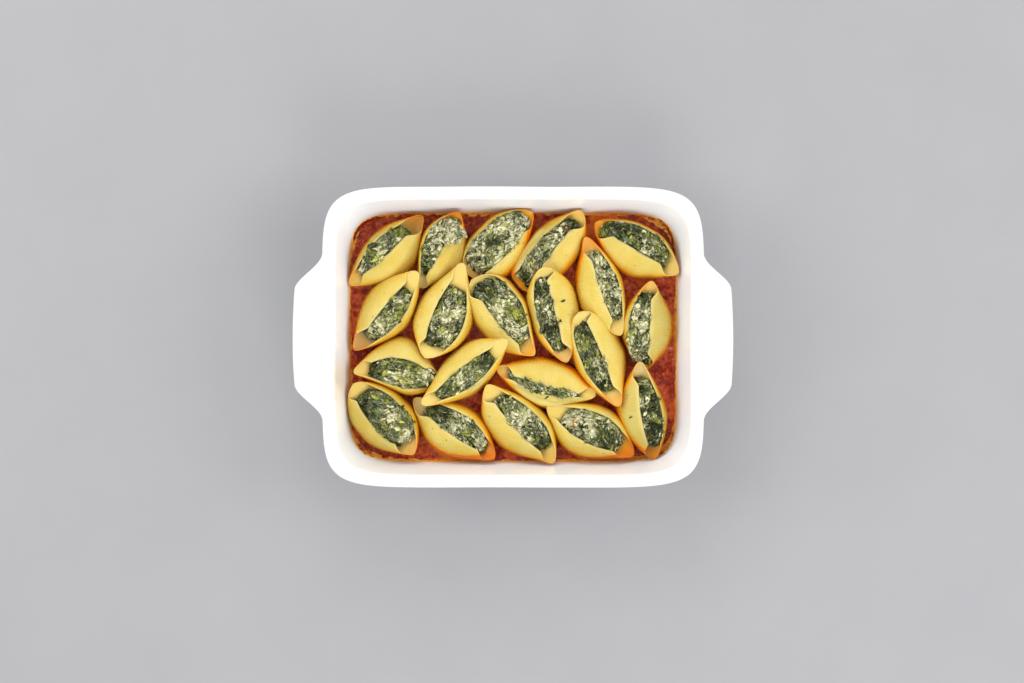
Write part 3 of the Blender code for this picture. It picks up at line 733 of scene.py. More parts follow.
SHELLS = [
    Shell(1, 223, 0.0152, 0.0212, 0.0035, roll=0.38, skew=(0.0, -0.02), flares=(0.55, 0.35),
          hollows=(1.3, 0.35), soaks=(0.75, 0.35), browns=(0.6, 0.15), bands=(1.0, 0.95, 0.5, 0.25),
          ends=(-0.6, 0.68), mix=(0.28, 0.3),
          patches=[(-0.75, 0.0, 0.005, "yellow"), (0.9, 0.2, 0.004, "cream")]),
    Shell(2, 242, 0.0162, 0.0182, 0.001, heap=0.0035, roll=0.2, skew=(-0.2, -0.03), flares=(0.5, 0.3),
          hollows=(1.0, 0.5), soaks=(0.8, 0.1), browns=(0.3, 0.0), beiges=(0.0, 0.6),
          bands=(0.7, 0.0, 0.45, 0.0), ends=(-0.86, 0.64), mix=(0.36, 0.14),
          patches=[(-0.55, 0.3, 0.0085, "cream"), (-0.75, -0.4, 0.005, "cream"),
                   (0.1, 0.4, 0.005, "cream"), (0.75, 0.0, 0.006, "dark"), (-0.5, 1.1, 0.007, "heap"),
                   (-0.62, 1.35, 0.0045, "strand")]),
    Shell(3, 222, 0.0186, 0.0203, 0.01, heap=0.004, roll=0.2, skew=(0.0, 0.25), flares=(0.5, 0.35),
          blunts=(0.3, 0.5), hollows=(0.8, 0.5), soaks=(0.5, 0.1), bands=(0.5, 0.4, 2.0, 1.0),
          ends=(-0.9, 0.86), mix=(0.46, 0.25), spill=(0.001, 0.0022),
          patches=[(-0.35, -0.4, 0.0055, "yellow"), (-0.85, 0.2, 0.006, "cream"),
                   (0.15, 0.0, 0.005, "dark")]),
    Shell(4, 232, 0.019, 0.0172, 0.0015, roll=0.42, skew=(0.18, -0.1), flares=(0.5, 0.3),
          blunts=(0.2, 0.9), hollows=(0.4, 0.5), soaks=(0.3, 0.6), bands=(0.6, 1.6, 0.6, 1.3),
          ends=(-0.8, 0.95), mix=(0.28, 0.25),
          patches=[(-0.2, 0.0, 0.004, "cream"), (0.85, 0.0, 0.006, "dark"), (-0.9, 0.0, 0.005, "dark"),
                   (-0.62, 0.3, 0.0014, "orange")]),
    Shell(5, 149, 0.0184, 0.0196, 0.002, roll=0.17, skew=(-0.1, 0.02), flares=(0.45, 0.5),
          blunts=(0.0, 0.2), hollows=(0.4, 0.6), soaks=(0.15, 0.6), browns=(0.1, 0.0),
          bands=(0.5, 1.0, 0.5, 1.6), ends=(-0.72, 0.86), mix=(0.1, 0.1),
          patches=[(-0.2, 0.2, 0.006, "cream"), (0.6, 0.2, 0.006, "dark")]),
    Shell(6, 50, 0.0176, 0.0188, 0.003, roll=0.3, skew=(0.0, 0.1), flares=(0.55, 0.34),
          hollows=(0.9, 0.15), soaks=(0.55, 0.0), browns=(0.35, 0.0), beiges=(0.5, 0.0),
          bands=(0.6, 0.1, 1.0, 0.1), ends=(-0.64, 0.62), mix=(0.28, 0.22),
          patches=[(-0.5, 0.0, 0.006, "cream"), (0.55, 0.0, 0.006, "cream")]),
    Shell(7, 68, 0.0216, 0.0202, 0.007, roll=0.24, skew=(-0.16, -0.12), flares=(0.4, 0.36),
          blunts=(0.1, 0.0), hollows=(0.35, 0.15), soaks=(0.1, 0.0), bands=(0.3, 0.0, 0.3, 0.0),
          ends=(-0.74, 0.52), mix=(0.32, 0.22),
          patches=[(0.85, 0.0, 0.005, "yellow"), (0.0, 0.2, 0.006, "cream"), (-0.8, 0.0, 0.006, "dark")]),
    Shell(8, 129, 0.0204, 0.019, 0.0055, heap=0.003, roll=0.17, skew=(0.2, -0.15), flares=(0.4, 0.5),
          blunts=(0.0, 0.5), hollows=(0.5, 0.5), soaks=(0.5, 0.1), browns=(0.25, 0.0),
          bands=(0.4, 0.2, 0.6, 0.2), ends=(-0.68, 0.9), mix=(0.26, 0.3),
          patches=[(0.8, 0.0, 0.008, "dark"), (0.1, 0.3, 0.0055, "cream"),
                   (-0.25, -0.2, 0.005, "yellow"), (-0.6, 0.2, 0.005, "cream")]),
    Shell(9, 284, 0.0178, 0.0187, 0.001, roll=0.3, skew=(0.05, 0.0), flares=(0.3, 0.45), blunts=(0.5, 0.0),
          hollows=(0.2, 0.6), soaks=(0.0, 0.35), beiges=(0.0, 0.5), bands=(0.0, 0.8, 0.1, 1.0),
          ends=(-0.86, 0.72), mix=(0.3, 0.12),
          patches=[(0.1, 0.4, 0.005, "cream"), (0.35, 0.0, 0.006, "dark"), (-0.6, 0.0, 0.006, "dark")]),
    Shell(10, 110, 0.0152, 0.0203, 0.003, roll=0.26, skew=(0.0, -0.16), flares=(0.35, 0.5),
          hollows=(0.35, 0.8), soaks=(0.05, 0.55), beiges=(0.0, 0.2), bands=(0.35, 1.0, 0.8, 1.2),
          ends=(-0.7, 0.72), mix=(0.44, 0.25),
          patches=[(0.85, 0.2, 0.006, "cream"), (0.0, 0.3, 0.005, "yellow")]),
    Shell(11, 266, 0.0194, 0.0178, 0.001, heap=0.003, roll=0.26, skew=(0.0, 0.05), flares=(0.45, 0.4),
          hollows=(0.6, 0.5), soaks=(0.35, 0.6), bands=(0.6, 0.9, 0.7, 0.8), dull=0.5, ends=(-0.76, 0.9),
          mix=(0.38, 0.2), spill=(0.0, 0.0045),
          patches=[(-0.1, 0.2, 0.005, "cream"), (-0.8, 0.0, 0.006, "dark"), (0.9, 0.0, 0.005, "dark")]),
    Shell(12, 354, 0.0128, 0.028, 0.013, heap=0.003, roll=0.36, skew=(0.3, 0.0), flares=(0.4, 0.4),
          hollows=(0.3, 0.5), soaks=(0.05, 0.2), browns=(0.1, 0.0), bands=(0.4, 0.3, 0.7, 0.3), dull=0.06,
          stretch=0.007, ends=(-0.66, 0.93), mix=(0.2, 0.34),
          patches=[(-0.8, 0.0, 0.006, "dark"), (0.2, -0.2, 0.007, "yellow"), (0.6, 0.2, 0.006, "cream")]),
    Shell(13, 37, 0.017, 0.0172, 0.004, roll=0.34, flares=(0.36, 0.34), hollows=(0.25, 0.15),
          soaks=(0.0, 0.0), bands=(0.3, 0.35, 0.3, 0.2), ends=(-0.72, 0.6), mix=(0.2, 0.15),
          patches=[(-0.2, 0.0, 0.006, "cream"), (0.7, 0.0, 0.006, "dark")]),
    Shell(14, 345, 0.0192, 0.0172, -0.003, roll=0.54, skew=(0.0, 0.05), flares=(0.4, 0.34),
          hollows=(0.3, 0.25), soaks=(0.25, 0.0), browns=(0.2, 0.0), bands=(1.2, 0.4, 1.0, 1.8),
          ends=(-0.78, 0.68), mix=(0.26, 0.18),
          patches=[(0.85, 0.0, 0.006, "cream")]),
    Shell(15, 293, 0.0173, 0.0196, 0.003, roll=0.28, skew=(0.0, -0.08), flares=(0.25, 0.45),
          blunts=(0.5, 0.0), hollows=(0.2, 0.6), soaks=(0.0, 0.45), beiges=(0.0, 0.3),
          bands=(0.7, 0.9, 0.4, 0.7), ends=(-0.82, 0.64), mix=(0.2, 0.15),
          patches=[(-0.8, 0.0, 0.007, "dark")]),
    Shell(16, 131, 0.0203, 0.0213, 0.0085, heap=0.005, roll=0.24, skew=(-0.16, 0.0), flares=(0.45, 0.35),
          blunts=(0.0, 0.4), hollows=(0.45, 0.2), soaks=(0.45, 0.05), beiges=(0.3, 0.0),
          bands=(0.6, 0.5, 0.7, 0.5), dull=0.05, ends=(-0.72, 0.72), mix=(0.16, 0.2), spill=(0.0035, 0.0),
          patches=[(0.5, 0.1, 0.008, "dark"), (-0.15, -0.2, 0.006, "cream"), (-0.8, 0.1, 0.006, "cream")]),
    Shell(17, 144, 0.0178, 0.0203, 0.0045, roll=0.28, skew=(-0.1, 0.05), flares=(0.4, 0.5),
          hollows=(0.6, 0.8), soaks=(0.95, 0.1), browns=(0.1, 0.0), beiges=(0.0, 0.6),
          bands=(1.0, 0.5, 2.4, 0.9), ends=(-0.76, 0.68), mix=(0.3, 0.15),
          patches=[(-0.75, 0.0, 0.006, "cream"), (0.6, 0.0, 0.008, "dark")]),
    Shell(18, 131, 0.0183, 0.0218, 0.005, roll=0.28, skew=(-0.22, 0.1), flares=(0.35, 0.4),
          blunts=(0.0, 0.2), hollows=(0.5, 0.35), soaks=(0.25, 0.1), browns=(0.2, 0.0),
          bands=(0.5, 0.4, 1.0, 0.6), dull=0.04, ends=(-0.72, 0.68), mix=(0.25, 0.12),
          patches=[(0.2, -0.1, 0.006, "cream"), (-0.8, 0.0, 0.006, "dark")]),
    Shell(19, 151, 0.0204, 0.0211, 0.009, heap=0.002, roll=0.3, skew=(-0.12, 0.1), flares=(0.45, 0.3),
          hollows=(0.6, 0.25), soaks=(0.9, 0.0), bands=(1.0, 0.4, 2.0, 0.6), ends=(-0.7, 0.62),
          mix=(0.32, 0.15),
          patches=[(0.8, 0.1, 0.0085, "cream"), (0.1, 0.1, 0.0055, "cream"), (-0.4, 0.1, 0.008, "dark"),
                   (0.62, 0.0, 0.0014, "orange"), (-0.25, -0.3, 0.0012, "orange")]),
    Shell(20, 99, 0.0146, 0.0212, 0.005, roll=0.28, skew=(-0.1, -0.05), flares=(0.35, 0.5),
          hollows=(0.5, 0.9), soaks=(0.8, 0.05), browns=(0.4, 0.0), beiges=(0.0, 0.6),
          bands=(0.8, 0.5, 1.8, 1.0), dull=0.5, ends=(-0.8, 0.7), mix=(0.12, 0.15), spill=(0.002, 0.0),
          patches=[(0.3, 0.4, 0.005, "cream"), (-0.5, 0.0, 0.007, "dark")]),
]


def shell_faces(shell):
    """Outer and inner face of one shell's wall, the way out of it, and each point's u along and v around.

    The outer face carries ridges: fine ribs round the shell, sine-shaped along it, that fade at the lips
    and tips. The inner face lies one thickness in along the outer face's normals. Both waver a little,
    and both close up to a thin upright edge at the tips, as a circle does at its end.
    """
    outer = shell.wall(np.linspace(-1.0, 1.0, STATIONS), np.linspace(0.0, 1.0, ROUND))
    outward = unit(np.cross(np.gradient(outer, axis=1), np.gradient(outer, axis=0)))
    u, v = np.linspace(-1.0, 1.0, STATIONS)[:, None], np.linspace(0.0, 1.0, ROUND)[None, :]
    seed = 100 + 13 * shell.number
    middle = (1.0 - u * u) ** 0.5
    lip = smoothstep((np.abs(v - 0.5) - 0.30) / 0.20)
    sway = waver(outer, 0.017, seed) * BROAD_SWAY + waver(outer, 0.0065, seed + 1) * FINE_SWAY
    lift = waver(outer, 0.011, seed + 2) * BROAD_LIFT + waver(outer, 0.005, seed + 3) * FINE_LIFT
    sway, lift = sway * MM * middle, lift * MM * middle * lip
    body = outer + outward * sway[..., None] + [0.0, 0.0, 1.0] * lift[..., None]
    thickness = PASTA_THICKNESS * blend(1.0, PASTA_AT_TIP, smoothstep((np.abs(u) - 0.55) / 0.45))
    inner = body - outward * (thickness * blend(1.0, LIP_THINNING, lip))[..., None]

    # The hollow: the inner face is filled up to the brim but for a funnel at each tip.
    past_middle = smoothstep((v - KEEL_SHARE) / 0.04)
    covered = smoothstep((shell.side_of(inner) - shell.edges(u)[1] - 0.0006) / 0.0025) * past_middle
    ceiling = smoothstep((v - 0.80) / 0.10)
    past_filling = np.abs(u - (shell.ends[0] + shell.ends[1]) / 2) - (shell.ends[1] - shell.ends[0]) / 2
    deep = FUNNEL * blend(1.0, near_to_far(shell.hollows, u), smoothstep((past_filling + 0.06) / 0.22))
    drop = np.maximum(shell.heights(u)[1] - inner[..., 2], 0.0)
    inner[..., 2] += drop * (1.0 - deep) * (1.0 - np.maximum(covered, ceiling))

    ridge = np.cos(math.pi * 0.5 * np.arange(STATIONS))[:, None]
    fade = smoothstep((1.0 - np.abs(u)) / 0.16) * smoothstep((0.5 - np.abs(v - 0.5)) / 0.05)
    low = 1.0 - smoothstep((outer[..., 2] - SAUCE_LEVEL - 0.004) / 0.011)
    depth = RIDGE_EVERYWHERE + RIDGE_LOW_DOWN * low + RIDGE_STRAY * waver(outer, 0.012, seed + 4)
    body = body + outward * (ridge * fade * depth)[..., None] * MM
    beyond = np.clip(np.abs(u) - PINCH_START, 0.0, 1.0) / PINCH_LENGTH
    pinch = np.sqrt(np.clip(1.0 - beyond**2, 0.0, 1.0))
    faces = [face - shell.left * (shell.side_of(face) * (1.0 - pinch))[..., None] for face in (body, inner)]
    return *faces, outward, u + 0.0 * v, v + 0.0 * u


def shell_marks(shell, loops, along, across, inside):
    """How much of each colour the pasta takes at its points: the marks that its finish reads.

    Orange gathers along the outline that sauce touches, in the grooves low on the walls, and in the tips.
    Gold towards the outline is partly painted shade, the lighter hollow is painted light, the pale rim is
    partly a painted highlight, and brown and beige in the tips' hollows are painted shade.
    """
    seed = 500 + 11 * shell.number
    outside = 1.0 - 0.8 * inside
    patches = 0.5 + 0.5 * rough(loops, 0.014, seed + 3)
    far = smoothstep((along + 0.7) / 1.4)
    band = np.where(across < KEEL_SHARE, blend(*shell.bands[:2], far), blend(*shell.bands[2:], far))
    side, reaches = shell.side_of(loops), shell.reaches(along)
    in_plan = np.where(across < KEEL_SHARE, reaches[0] + side, reaches[1] - side)
    low_down = (across > THIN_SHARE) & (across < LOBE_SHARE)
    in_plan = np.where(low_down, 0.0, np.maximum(in_plan, 0.0)) + rough(loops, 0.009, seed) * 0.0005
    near_sauce = 1.0 - smoothstep((in_plan - 0.0002 - 0.0005 * band) / (0.0007 + 0.0017 * band))
    # Partly painted shade: gold deepens towards the outline, more in the grooves, and on the upright wall's
    # outer band.
    warm = 1.0 - smoothstep((in_plan - 0.0005) / (0.0016 + 0.0026 * band))
    groove = 0.5 - 0.5 * np.cos(math.pi * 0.5 * np.arange(STATIONS))[:, None] * (1.0 - inside)
    gold_shade_near_outline = (0.14 + 0.46 * groove) * (1.0 - smoothstep(in_plan / 0.0095)) * outside
    upright = 0.16 * (across < THIN_SHARE) * outside
    # Rim line: partly the pasta's own paler edge, partly a painted highlight.
    rim_line = smoothstep((np.abs(across - 0.5) - 0.462) / 0.034)

    def at_tips(pair, start, length):
        """The pair's values at the near and far tip, fading to 0 towards the middle by smoothstep."""
        near, far_off = (smoothstep((way * along - start) / length) for way in (-1.0, 1.0))
        return near * pair[0] + far_off * pair[1]

    soak = near_sauce * (0.08 + 0.65 * band + (0.30 + 0.30 * band) * groove) * outside
    # Gold near the outline: partly the pasta's own colour, partly painted shade.
    gold = warm * (0.35 + 0.45 * band + 0.45 * groove) * outside
    marks = {
        "soak": np.clip(soak + at_tips(shell.soaks, 0.50, 0.42) * 0.95, 0.0, 1.4),
        "gold": gold + upright + gold_shade_near_outline + 0.25 * (patches - 0.5),
        "rim": rim_line,
        # Painted light: lighter cream on the inner face against the shade inside the shell.
        "hollow": inside * (0.85 + 0.3 * (patches - 0.5)),
        "dull": shell.dull * (0.65 + 0.5 * patches) * (1.0 - rim_line),
        # Painted shade: brown and beige inside the tips.
        "brown": inside * at_tips(shell.browns, 0.40, 0.25) * (0.6 + 0.5 * patches) * (1.0 - rim_line),
        "beige": inside * at_tips(shell.beiges, 0.40, 0.25) * (0.6 + 0.5 * patches) * (1.0 - rim_line),
    }
    return {name: values if name == "soak" else np.clip(values, 0.0, 1.0) for name, values in marks.items()}


def make_shell(shell):
    """One pasta shell: outer face, a rounded rim, inner face and the other rim, closed at the tips."""
    outer, inner, _, u, v = shell_faces(shell)

    def rim(column, beyond):
        """The rim's middle line: between the two faces, pushed out by a share of the gap between them."""
        edge = (outer[:, column] + inner[:, column]) / 2
        push = unit(outer[:, column] - outer[:, beyond])
        gap = np.linalg.norm(outer[:, column] - inner[:, column], axis=1, keepdims=True)
        return edge + push * gap * RIM_ROUNDING

    loops = np.concatenate([outer, rim(-1, -3)[:, None], inner[:, ::-1], rim(0, 2)[:, None]], axis=1)
    rows, columns = loops.shape[:2]
    last_row = (rows - 1) * columns
    first = np.arange(ROUND - 1)
    back = 2 * ROUND - first
    cap = np.stack([back, back - 1, first + 1, first], axis=-1)
    quads = np.concatenate([grid_faces(rows, columns, wrap=True), cap, cap[:, ::-1] + last_row])
    corner = np.array([[ROUND, ROUND - 1, ROUND + 1], [2 * ROUND + 1, 2 * ROUND, 0]])
    triangles = np.concatenate([corner, corner[:, ::-1] + last_row])
    inside = np.concatenate([np.zeros(ROUND), [0.5], np.ones(ROUND), [0.5]])[None, :] + 0.0 * loops[..., 0]
    along, across = (np.concatenate([at, at[:, -1:], at[:, ::-1], at[:, :1]], axis=1) for at in (u, v))
    marks = shell_marks(shell, loops, along, across, inside)
    marks = {name: mark.ravel() for name, mark in marks.items()}
    return new_piece(f"pasta_{shell.number:02d}", loops, quads, triangles, PASTA,
                     [f"pasta_shell_{shell.number:02d}"], marks)


# ---------------------------------------------------------------- the filling

DARK_LEAF = (0.041, 0.050, 0.008)
SLATE_LEAF = (0.130, 0.156, 0.080)
MID_LEAF = (0.244, 0.266, 0.042)
YELLOW_LEAF = (0.488, 0.502, 0.046)
# Olive-black for the filling's edges: partly oil, partly painted shadow where the filling meets the pasta.
OIL_AND_SHADE_EDGE = (0.044, 0.044, 0.002)
ORANGE_BIT = (0.62, 0.21, 0.015)
PALE_LEAF = (0.414, 0.410, 0.198)
CREAM = (0.636, 0.608, 0.380)
AREA_PER_LEAF = 6.0e-6
AREA_PER_STRAND = 5.0e-6
AREA_PER_CURD = 3.2e-5
UNDER_RIM = 0.0030
END_DIP = 0.0040
PILLOW_HEIGHT = 0.0032
PILLOW_DEPTH = 0.011
FOLD_HEIGHT, SMALL_FOLD_HEIGHT, CRUMB_HEIGHT, LUMP_HEIGHT = 0.0020, 0.0014, 0.0005, 0.0012
FLOW_STRETCH = 0.3
OWN_PATTERN = 0.05

# Where each green ends and the next starts, before a shell's own share of yellow leaf moves the last.
GREEN_LIMITS = (-0.45, 0.25, 1.40)


def filling_top(shell, w, t):
    """Top of the filling at w from -1 to 1 along it and t from -1 to 1 across it.

    A pillow between the walls: its edge lies a little under the rims and dips at the ends, and its crown
    is the root of 1 - |t|^2.6 times the root of 1 - |w|^4. Folds are waver with its sign dropped, so they
    crease.
    """
    u = shell.along_filling(w)
    thin_edge, lobe_edge = shell.edges(u)
    right = -(thin_edge - 0.0002) - near_to_far(shell.spill, w) * np.abs(w) ** 0.5
    left = lobe_edge + 0.0008
    taper = 1.0 - 0.58 * np.abs(w) ** 6
    side = (left + right) / 2 + (left - right) / 2 * t * taper
    thin_top = shell.heights(u)[1]
    seed = 900 + 17 * shell.number
    spot = shell.at(u, side, 0.0)
    u = u + waver(spot, 0.0045, seed + 5) * 0.045 * np.abs(w) ** 8
    crown = (1.0 - np.abs(t) ** 2.6) ** 0.5 * (1.0 - np.abs(w) ** 4) ** 0.5
    edge = thin_top - UNDER_RIM - END_DIP * w**4
    folds = FOLD_HEIGHT * (0.7 - 2.0 * np.abs(waver(spot, 0.0085, seed)))
    folds = folds + SMALL_FOLD_HEIGHT * (0.5 - 2.0 * np.abs(waver(spot, 0.0042, seed + 1)))
    folds = folds + CRUMB_HEIGHT * waver(spot, 0.0018, seed + 2)
    lumps = LUMP_HEIGHT * waver(spot, 0.012, seed + 3)
    height = edge + crown * (PILLOW_HEIGHT + shell.heap + folds + lumps)
    return shell.at(u, side, height), crown


def patch_share(here, shell, kind):
    """How far in patches of one kind points lie: the largest of exp(-(distance / (0.75 reach))^2)."""
    share = np.zeros(here.shape[:-1])
    for w, t, reach, which in shell.patches:
        if which == kind:
            middle = filling_top(shell, np.array(w), np.array(t))[0]
            away = np.hypot(here[..., 0] - middle[0], here[..., 1] - middle[1])
            share = np.maximum(share, np.exp(-((away / (0.75 * reach)) ** 2)))
    return share


def ricotta_share(here, shell):
    """How much ricotta lies on the filling at points, from -1.4 for none to 1.2 for little else."""
    own = 0.62 * rough(here, 0.0070, 1300 + 19 * shell.number, 2) + (shell.mix[0] - 0.26) * 2.5
    share = own + 1.5 * patch_share(here, shell, "cream") - 1.3 * patch_share(here, shell, "dark")
    share = share - 4.0 * patch_share(here, shell, "orange")
    return np.clip(share, -1.4, 1.2)


def leaf_tints(here, shell, random, spread=0.5):
    """Greens for scraps of leaf at points, each gathering in patches of its own, and the ricotta there."""
    order = 1.25 * rough(here, 0.0060, 1305 + 19 * shell.number)
    order = order + random.normal(0.0, spread, here.shape[:-1])
    order = order + 1.6 * patch_share(here, shell, "yellow") - 0.9 * patch_share(here, shell, "dark")
    kind = np.searchsorted([*GREEN_LIMITS[:2], GREEN_LIMITS[2] - 1.3 * shell.mix[1]], order)
    greens = np.array([DARK_LEAF, SLATE_LEAF, MID_LEAF, YELLOW_LEAF])[kind]
    greens = greens * random.uniform(0.60, 1.60, (*here.shape[:-1], 1))
    greens = np.where(patch_share(here, shell, "orange")[..., None] > 0.45, ORANGE_BIT, greens)
    own = random.uniform(0.0, 1.0, (*here.shape[:-1], 1))
    return np.concatenate([greens, ricotta_share(here, shell)[..., None], own], axis=-1)


def flow(points, shell, own):
    """Where points lie along and across the filling, swayed by waver, the length drawn in to 0.3.

    own moves a scrap's points away from the others' in the third direction, for a pattern of its own.
    """
    away = points - shell.at(np.array(0.0), np.array(0.0), 0.0)
    along = away[:, :2] @ shell.forward
    across = away[:, 1] * shell.forward[0] - away[:, 0] * shell.forward[1]
    across = across + 0.0018 * waver(points, 0.0080, 2300 + shell.number)
    across = across + 0.0006 * waver(points, 0.0030, 2340 + shell.number)
    along = along + 0.0025 * waver(points, 0.0065, 2380 + shell.number)
    return np.stack([along * FLOW_STRETCH, across, OWN_PATTERN * own], axis=-1)


def scatter(centres, normals, headings, shape, tints):
    """Copies of one small shape, bent to their own places, as a part that gather can join.

    shape is its points (count, points, 3) in each scrap's own axes, along its heading, across it and up
    its normal, and the quads and triangles of one scrap.
    """
    shape, quads, triangles = shape
    ahead = unit(headings - normals * (headings * normals).sum(axis=-1, keepdims=True))
    axes = np.stack([ahead, np.cross(normals, ahead), normals], axis=1)
    points = centres[:, None, :] + np.einsum("npk,nkc->npc", shape, axes)
    return points, quads, triangles, np.repeat(tints[:, None, :], shape.shape[1], axis=1)


def sheets(length, width, random):
    """Crumpled sheets of leaf, 32 points each: a 6 by 4 grid, and the 4 by 2 of its inner points below.

    The outline is an oval whose half width is (1 - s^2)^0.4. The sheet folds up or down along its middle
    line by |t|^1.5, arches along its length by s^2, sways sideways by s^2, and every point is pushed up
    or down at random.
    """
    count = len(length)
    s = np.linspace(-1.0, 1.0, 6)[None, :, None]
    t = np.linspace(-1.0, 1.0, 4)[None, None, :]
    length, width = length[:, None, None], width[:, None, None]
    half = width / 2 * np.maximum(1.0 - s * s, 0.02) ** 0.4 * random.uniform(0.65, 1.25, (count, 6, 1))
    sway = random.uniform(-0.22, 0.22, (count, 1, 1)) * length * s * s
    fold = random.uniform(-0.6, 1.1, (count, 1, 1)) * half * np.abs(t) ** 1.5
    arch = random.uniform(-0.22, 0.10, (count, 1, 1)) * length * s * s
    x = length / 2 * s + 0.0 * half * t
    top = np.stack([x, half * t + sway, fold + arch + random.normal(0.0, 0.00022, (count, 6, 4))], axis=-1)
    under = top[:, 1:-1, 1:-1] - [0.0, 0.0, 0.0003]
    below = np.arange(24).reshape(6, 4)
    below[1:-1, 1:-1] = 24 + np.arange(8).reshape(4, 2)
    points = np.concatenate([top.reshape(count, 24, 3), under.reshape(count, 8, 3)], axis=1)
    return points, folded_faces(below), []


def strands(length, width, curl, twist, random):
    """Curled strands with pointed ends, 17 points each.

    Along an arc of the given curl, the cross-section is a flat triangle whose width is the root of 1 - s
    squared, rolled about the arc by twist times s.
    """
    count = len(length)
    s = np.array([-0.76, -0.40, 0.0, 0.40, 0.76])[None, :, None]
    sides = np.array([0.0, -1.0, 1.0])[None, None, :]
    lifts = np.array([1.0, -0.4, -0.4])[None, None, :]
    length, width, curl = length[:, None, None], width[:, None, None], curl[:, None, None]
    roll = twist[:, None, None] * s
    flat = sides * (width / 2 * np.sqrt(1.0 - s * s) * random.uniform(0.75, 1.25, (count, 5, 1)))
    up = lifts * 0.00024
    across = flat * np.cos(roll) - up * np.sin(roll)
    over = flat * np.sin(roll) + up * np.cos(roll)
    radius = length / 2 / np.maximum(np.abs(curl), 1e-3)
    tilt = random.uniform(-1.0, 1.0, (count, 1, 1))

    def on_arc(turn, across, over):
        """Points at a turn along the arc, which bows sideways by tilt and hangs down by the rest."""
        bow = radius * (1.0 - np.cos(turn)) * np.sign(curl)
        x = radius * np.sin(np.abs(turn)) * np.sign(turn) * np.sign(curl) + 0.0 * across
        return np.stack([x, across + bow * tilt, over - np.abs(bow) * (1.0 - np.abs(tilt))], axis=-1)

    body = on_arc(curl * s, across, over).reshape(count, -1, 3)
    ends = [on_arc(curl * sign, 0.0 * curl, 0.0 * curl).reshape(count, 1, 3) for sign in (-1.0, 1.0)]
    return np.concatenate([body, *ends], axis=1), *tube_faces(5, 3)


def curds(size, random):
    """Lumpy curds, 20 points each: three rings of six and two poles, each pushed in or out at random."""
    count = len(size)
    rise = np.array([-0.7, 0.0, 0.7])[None, :, None]
    turn = (np.arange(6) * math.pi / 3)[None, None, :]
    reach = np.sqrt(1.0 - rise * rise)
    ring = level(reach * np.cos(turn), reach * np.sin(turn), rise)
    ball = np.concatenate([ring.reshape(1, 18, 3), [[[0.0, 0.0, -1.0], [0.0, 0.0, 1.0]]]], axis=1)
    body = ball * random.uniform(0.75, 1.2, (count, 20, 1))
    squash = random.uniform([0.8, 0.7, 0.35], [1.6, 1.2, 0.6], (count, 3))[:, None, :]
    return body * size[:, None, None] / 2 * squash, *tube_faces(3, 6)


def gather(parts):
    """Joins parts (points, quads, triangles, tints) into one. A part may hold many copies of one shape."""
    joined, first = ([], [], [], []), 0
    for points, quads, triangles, tints in parts:
        points = points.reshape(-1, *points.shape[-2:])
        count, size = points.shape[:2]
        offset = first + size * np.arange(count)[:, None, None]
        joined[0].append(points.reshape(-1, 3))
        for faces, corners, kept in ((quads, 4, joined[1]), (triangles, 3, joined[2])):
            kept.append((np.asarray(faces, int).reshape(1, -1, corners) + offset).reshape(-1, corners))
        joined[3].append(tints.reshape(-1, tints.shape[-1]))
        first += count * size
    return [np.concatenate(kept) for kept in joined]


def pillow(shell, random):
    """The filling's body: its top and a plain underside, both grids over w and t that share their edge."""
    rows, columns = 97, 41
    w = np.linspace(-math.pi / 2, math.pi / 2, rows)[:, None]
    t = np.linspace(-math.pi / 2, math.pi / 2, columns)[None, :]
    w, t = np.broadcast_arrays(np.sin(w) * 0.35 + w * 1.3 / math.pi, np.sin(t) * 0.35 + t * 1.3 / math.pi)
    top, crown = filling_top(shell, w, t)
    base = top.copy()
    base[..., 2] -= crown * PILLOW_DEPTH
    below = np.arange(rows * columns).reshape(rows, columns)
    below[1:-1, 1:-1] += rows * columns
    points = np.concatenate([top.reshape(-1, 3), base.reshape(-1, 3)])
    tints = leaf_tints(points, shell, random, 0.15)
    tints[:, 4] = 0.0
    # Painted shade: the pillow darkens towards its edges.
    tints[:, :3] *= np.tile(0.45 + 0.55 * smoothstep(crown / 0.55).reshape(-1, 1), (2, 1))
    return points, folded_faces(below), [], tints


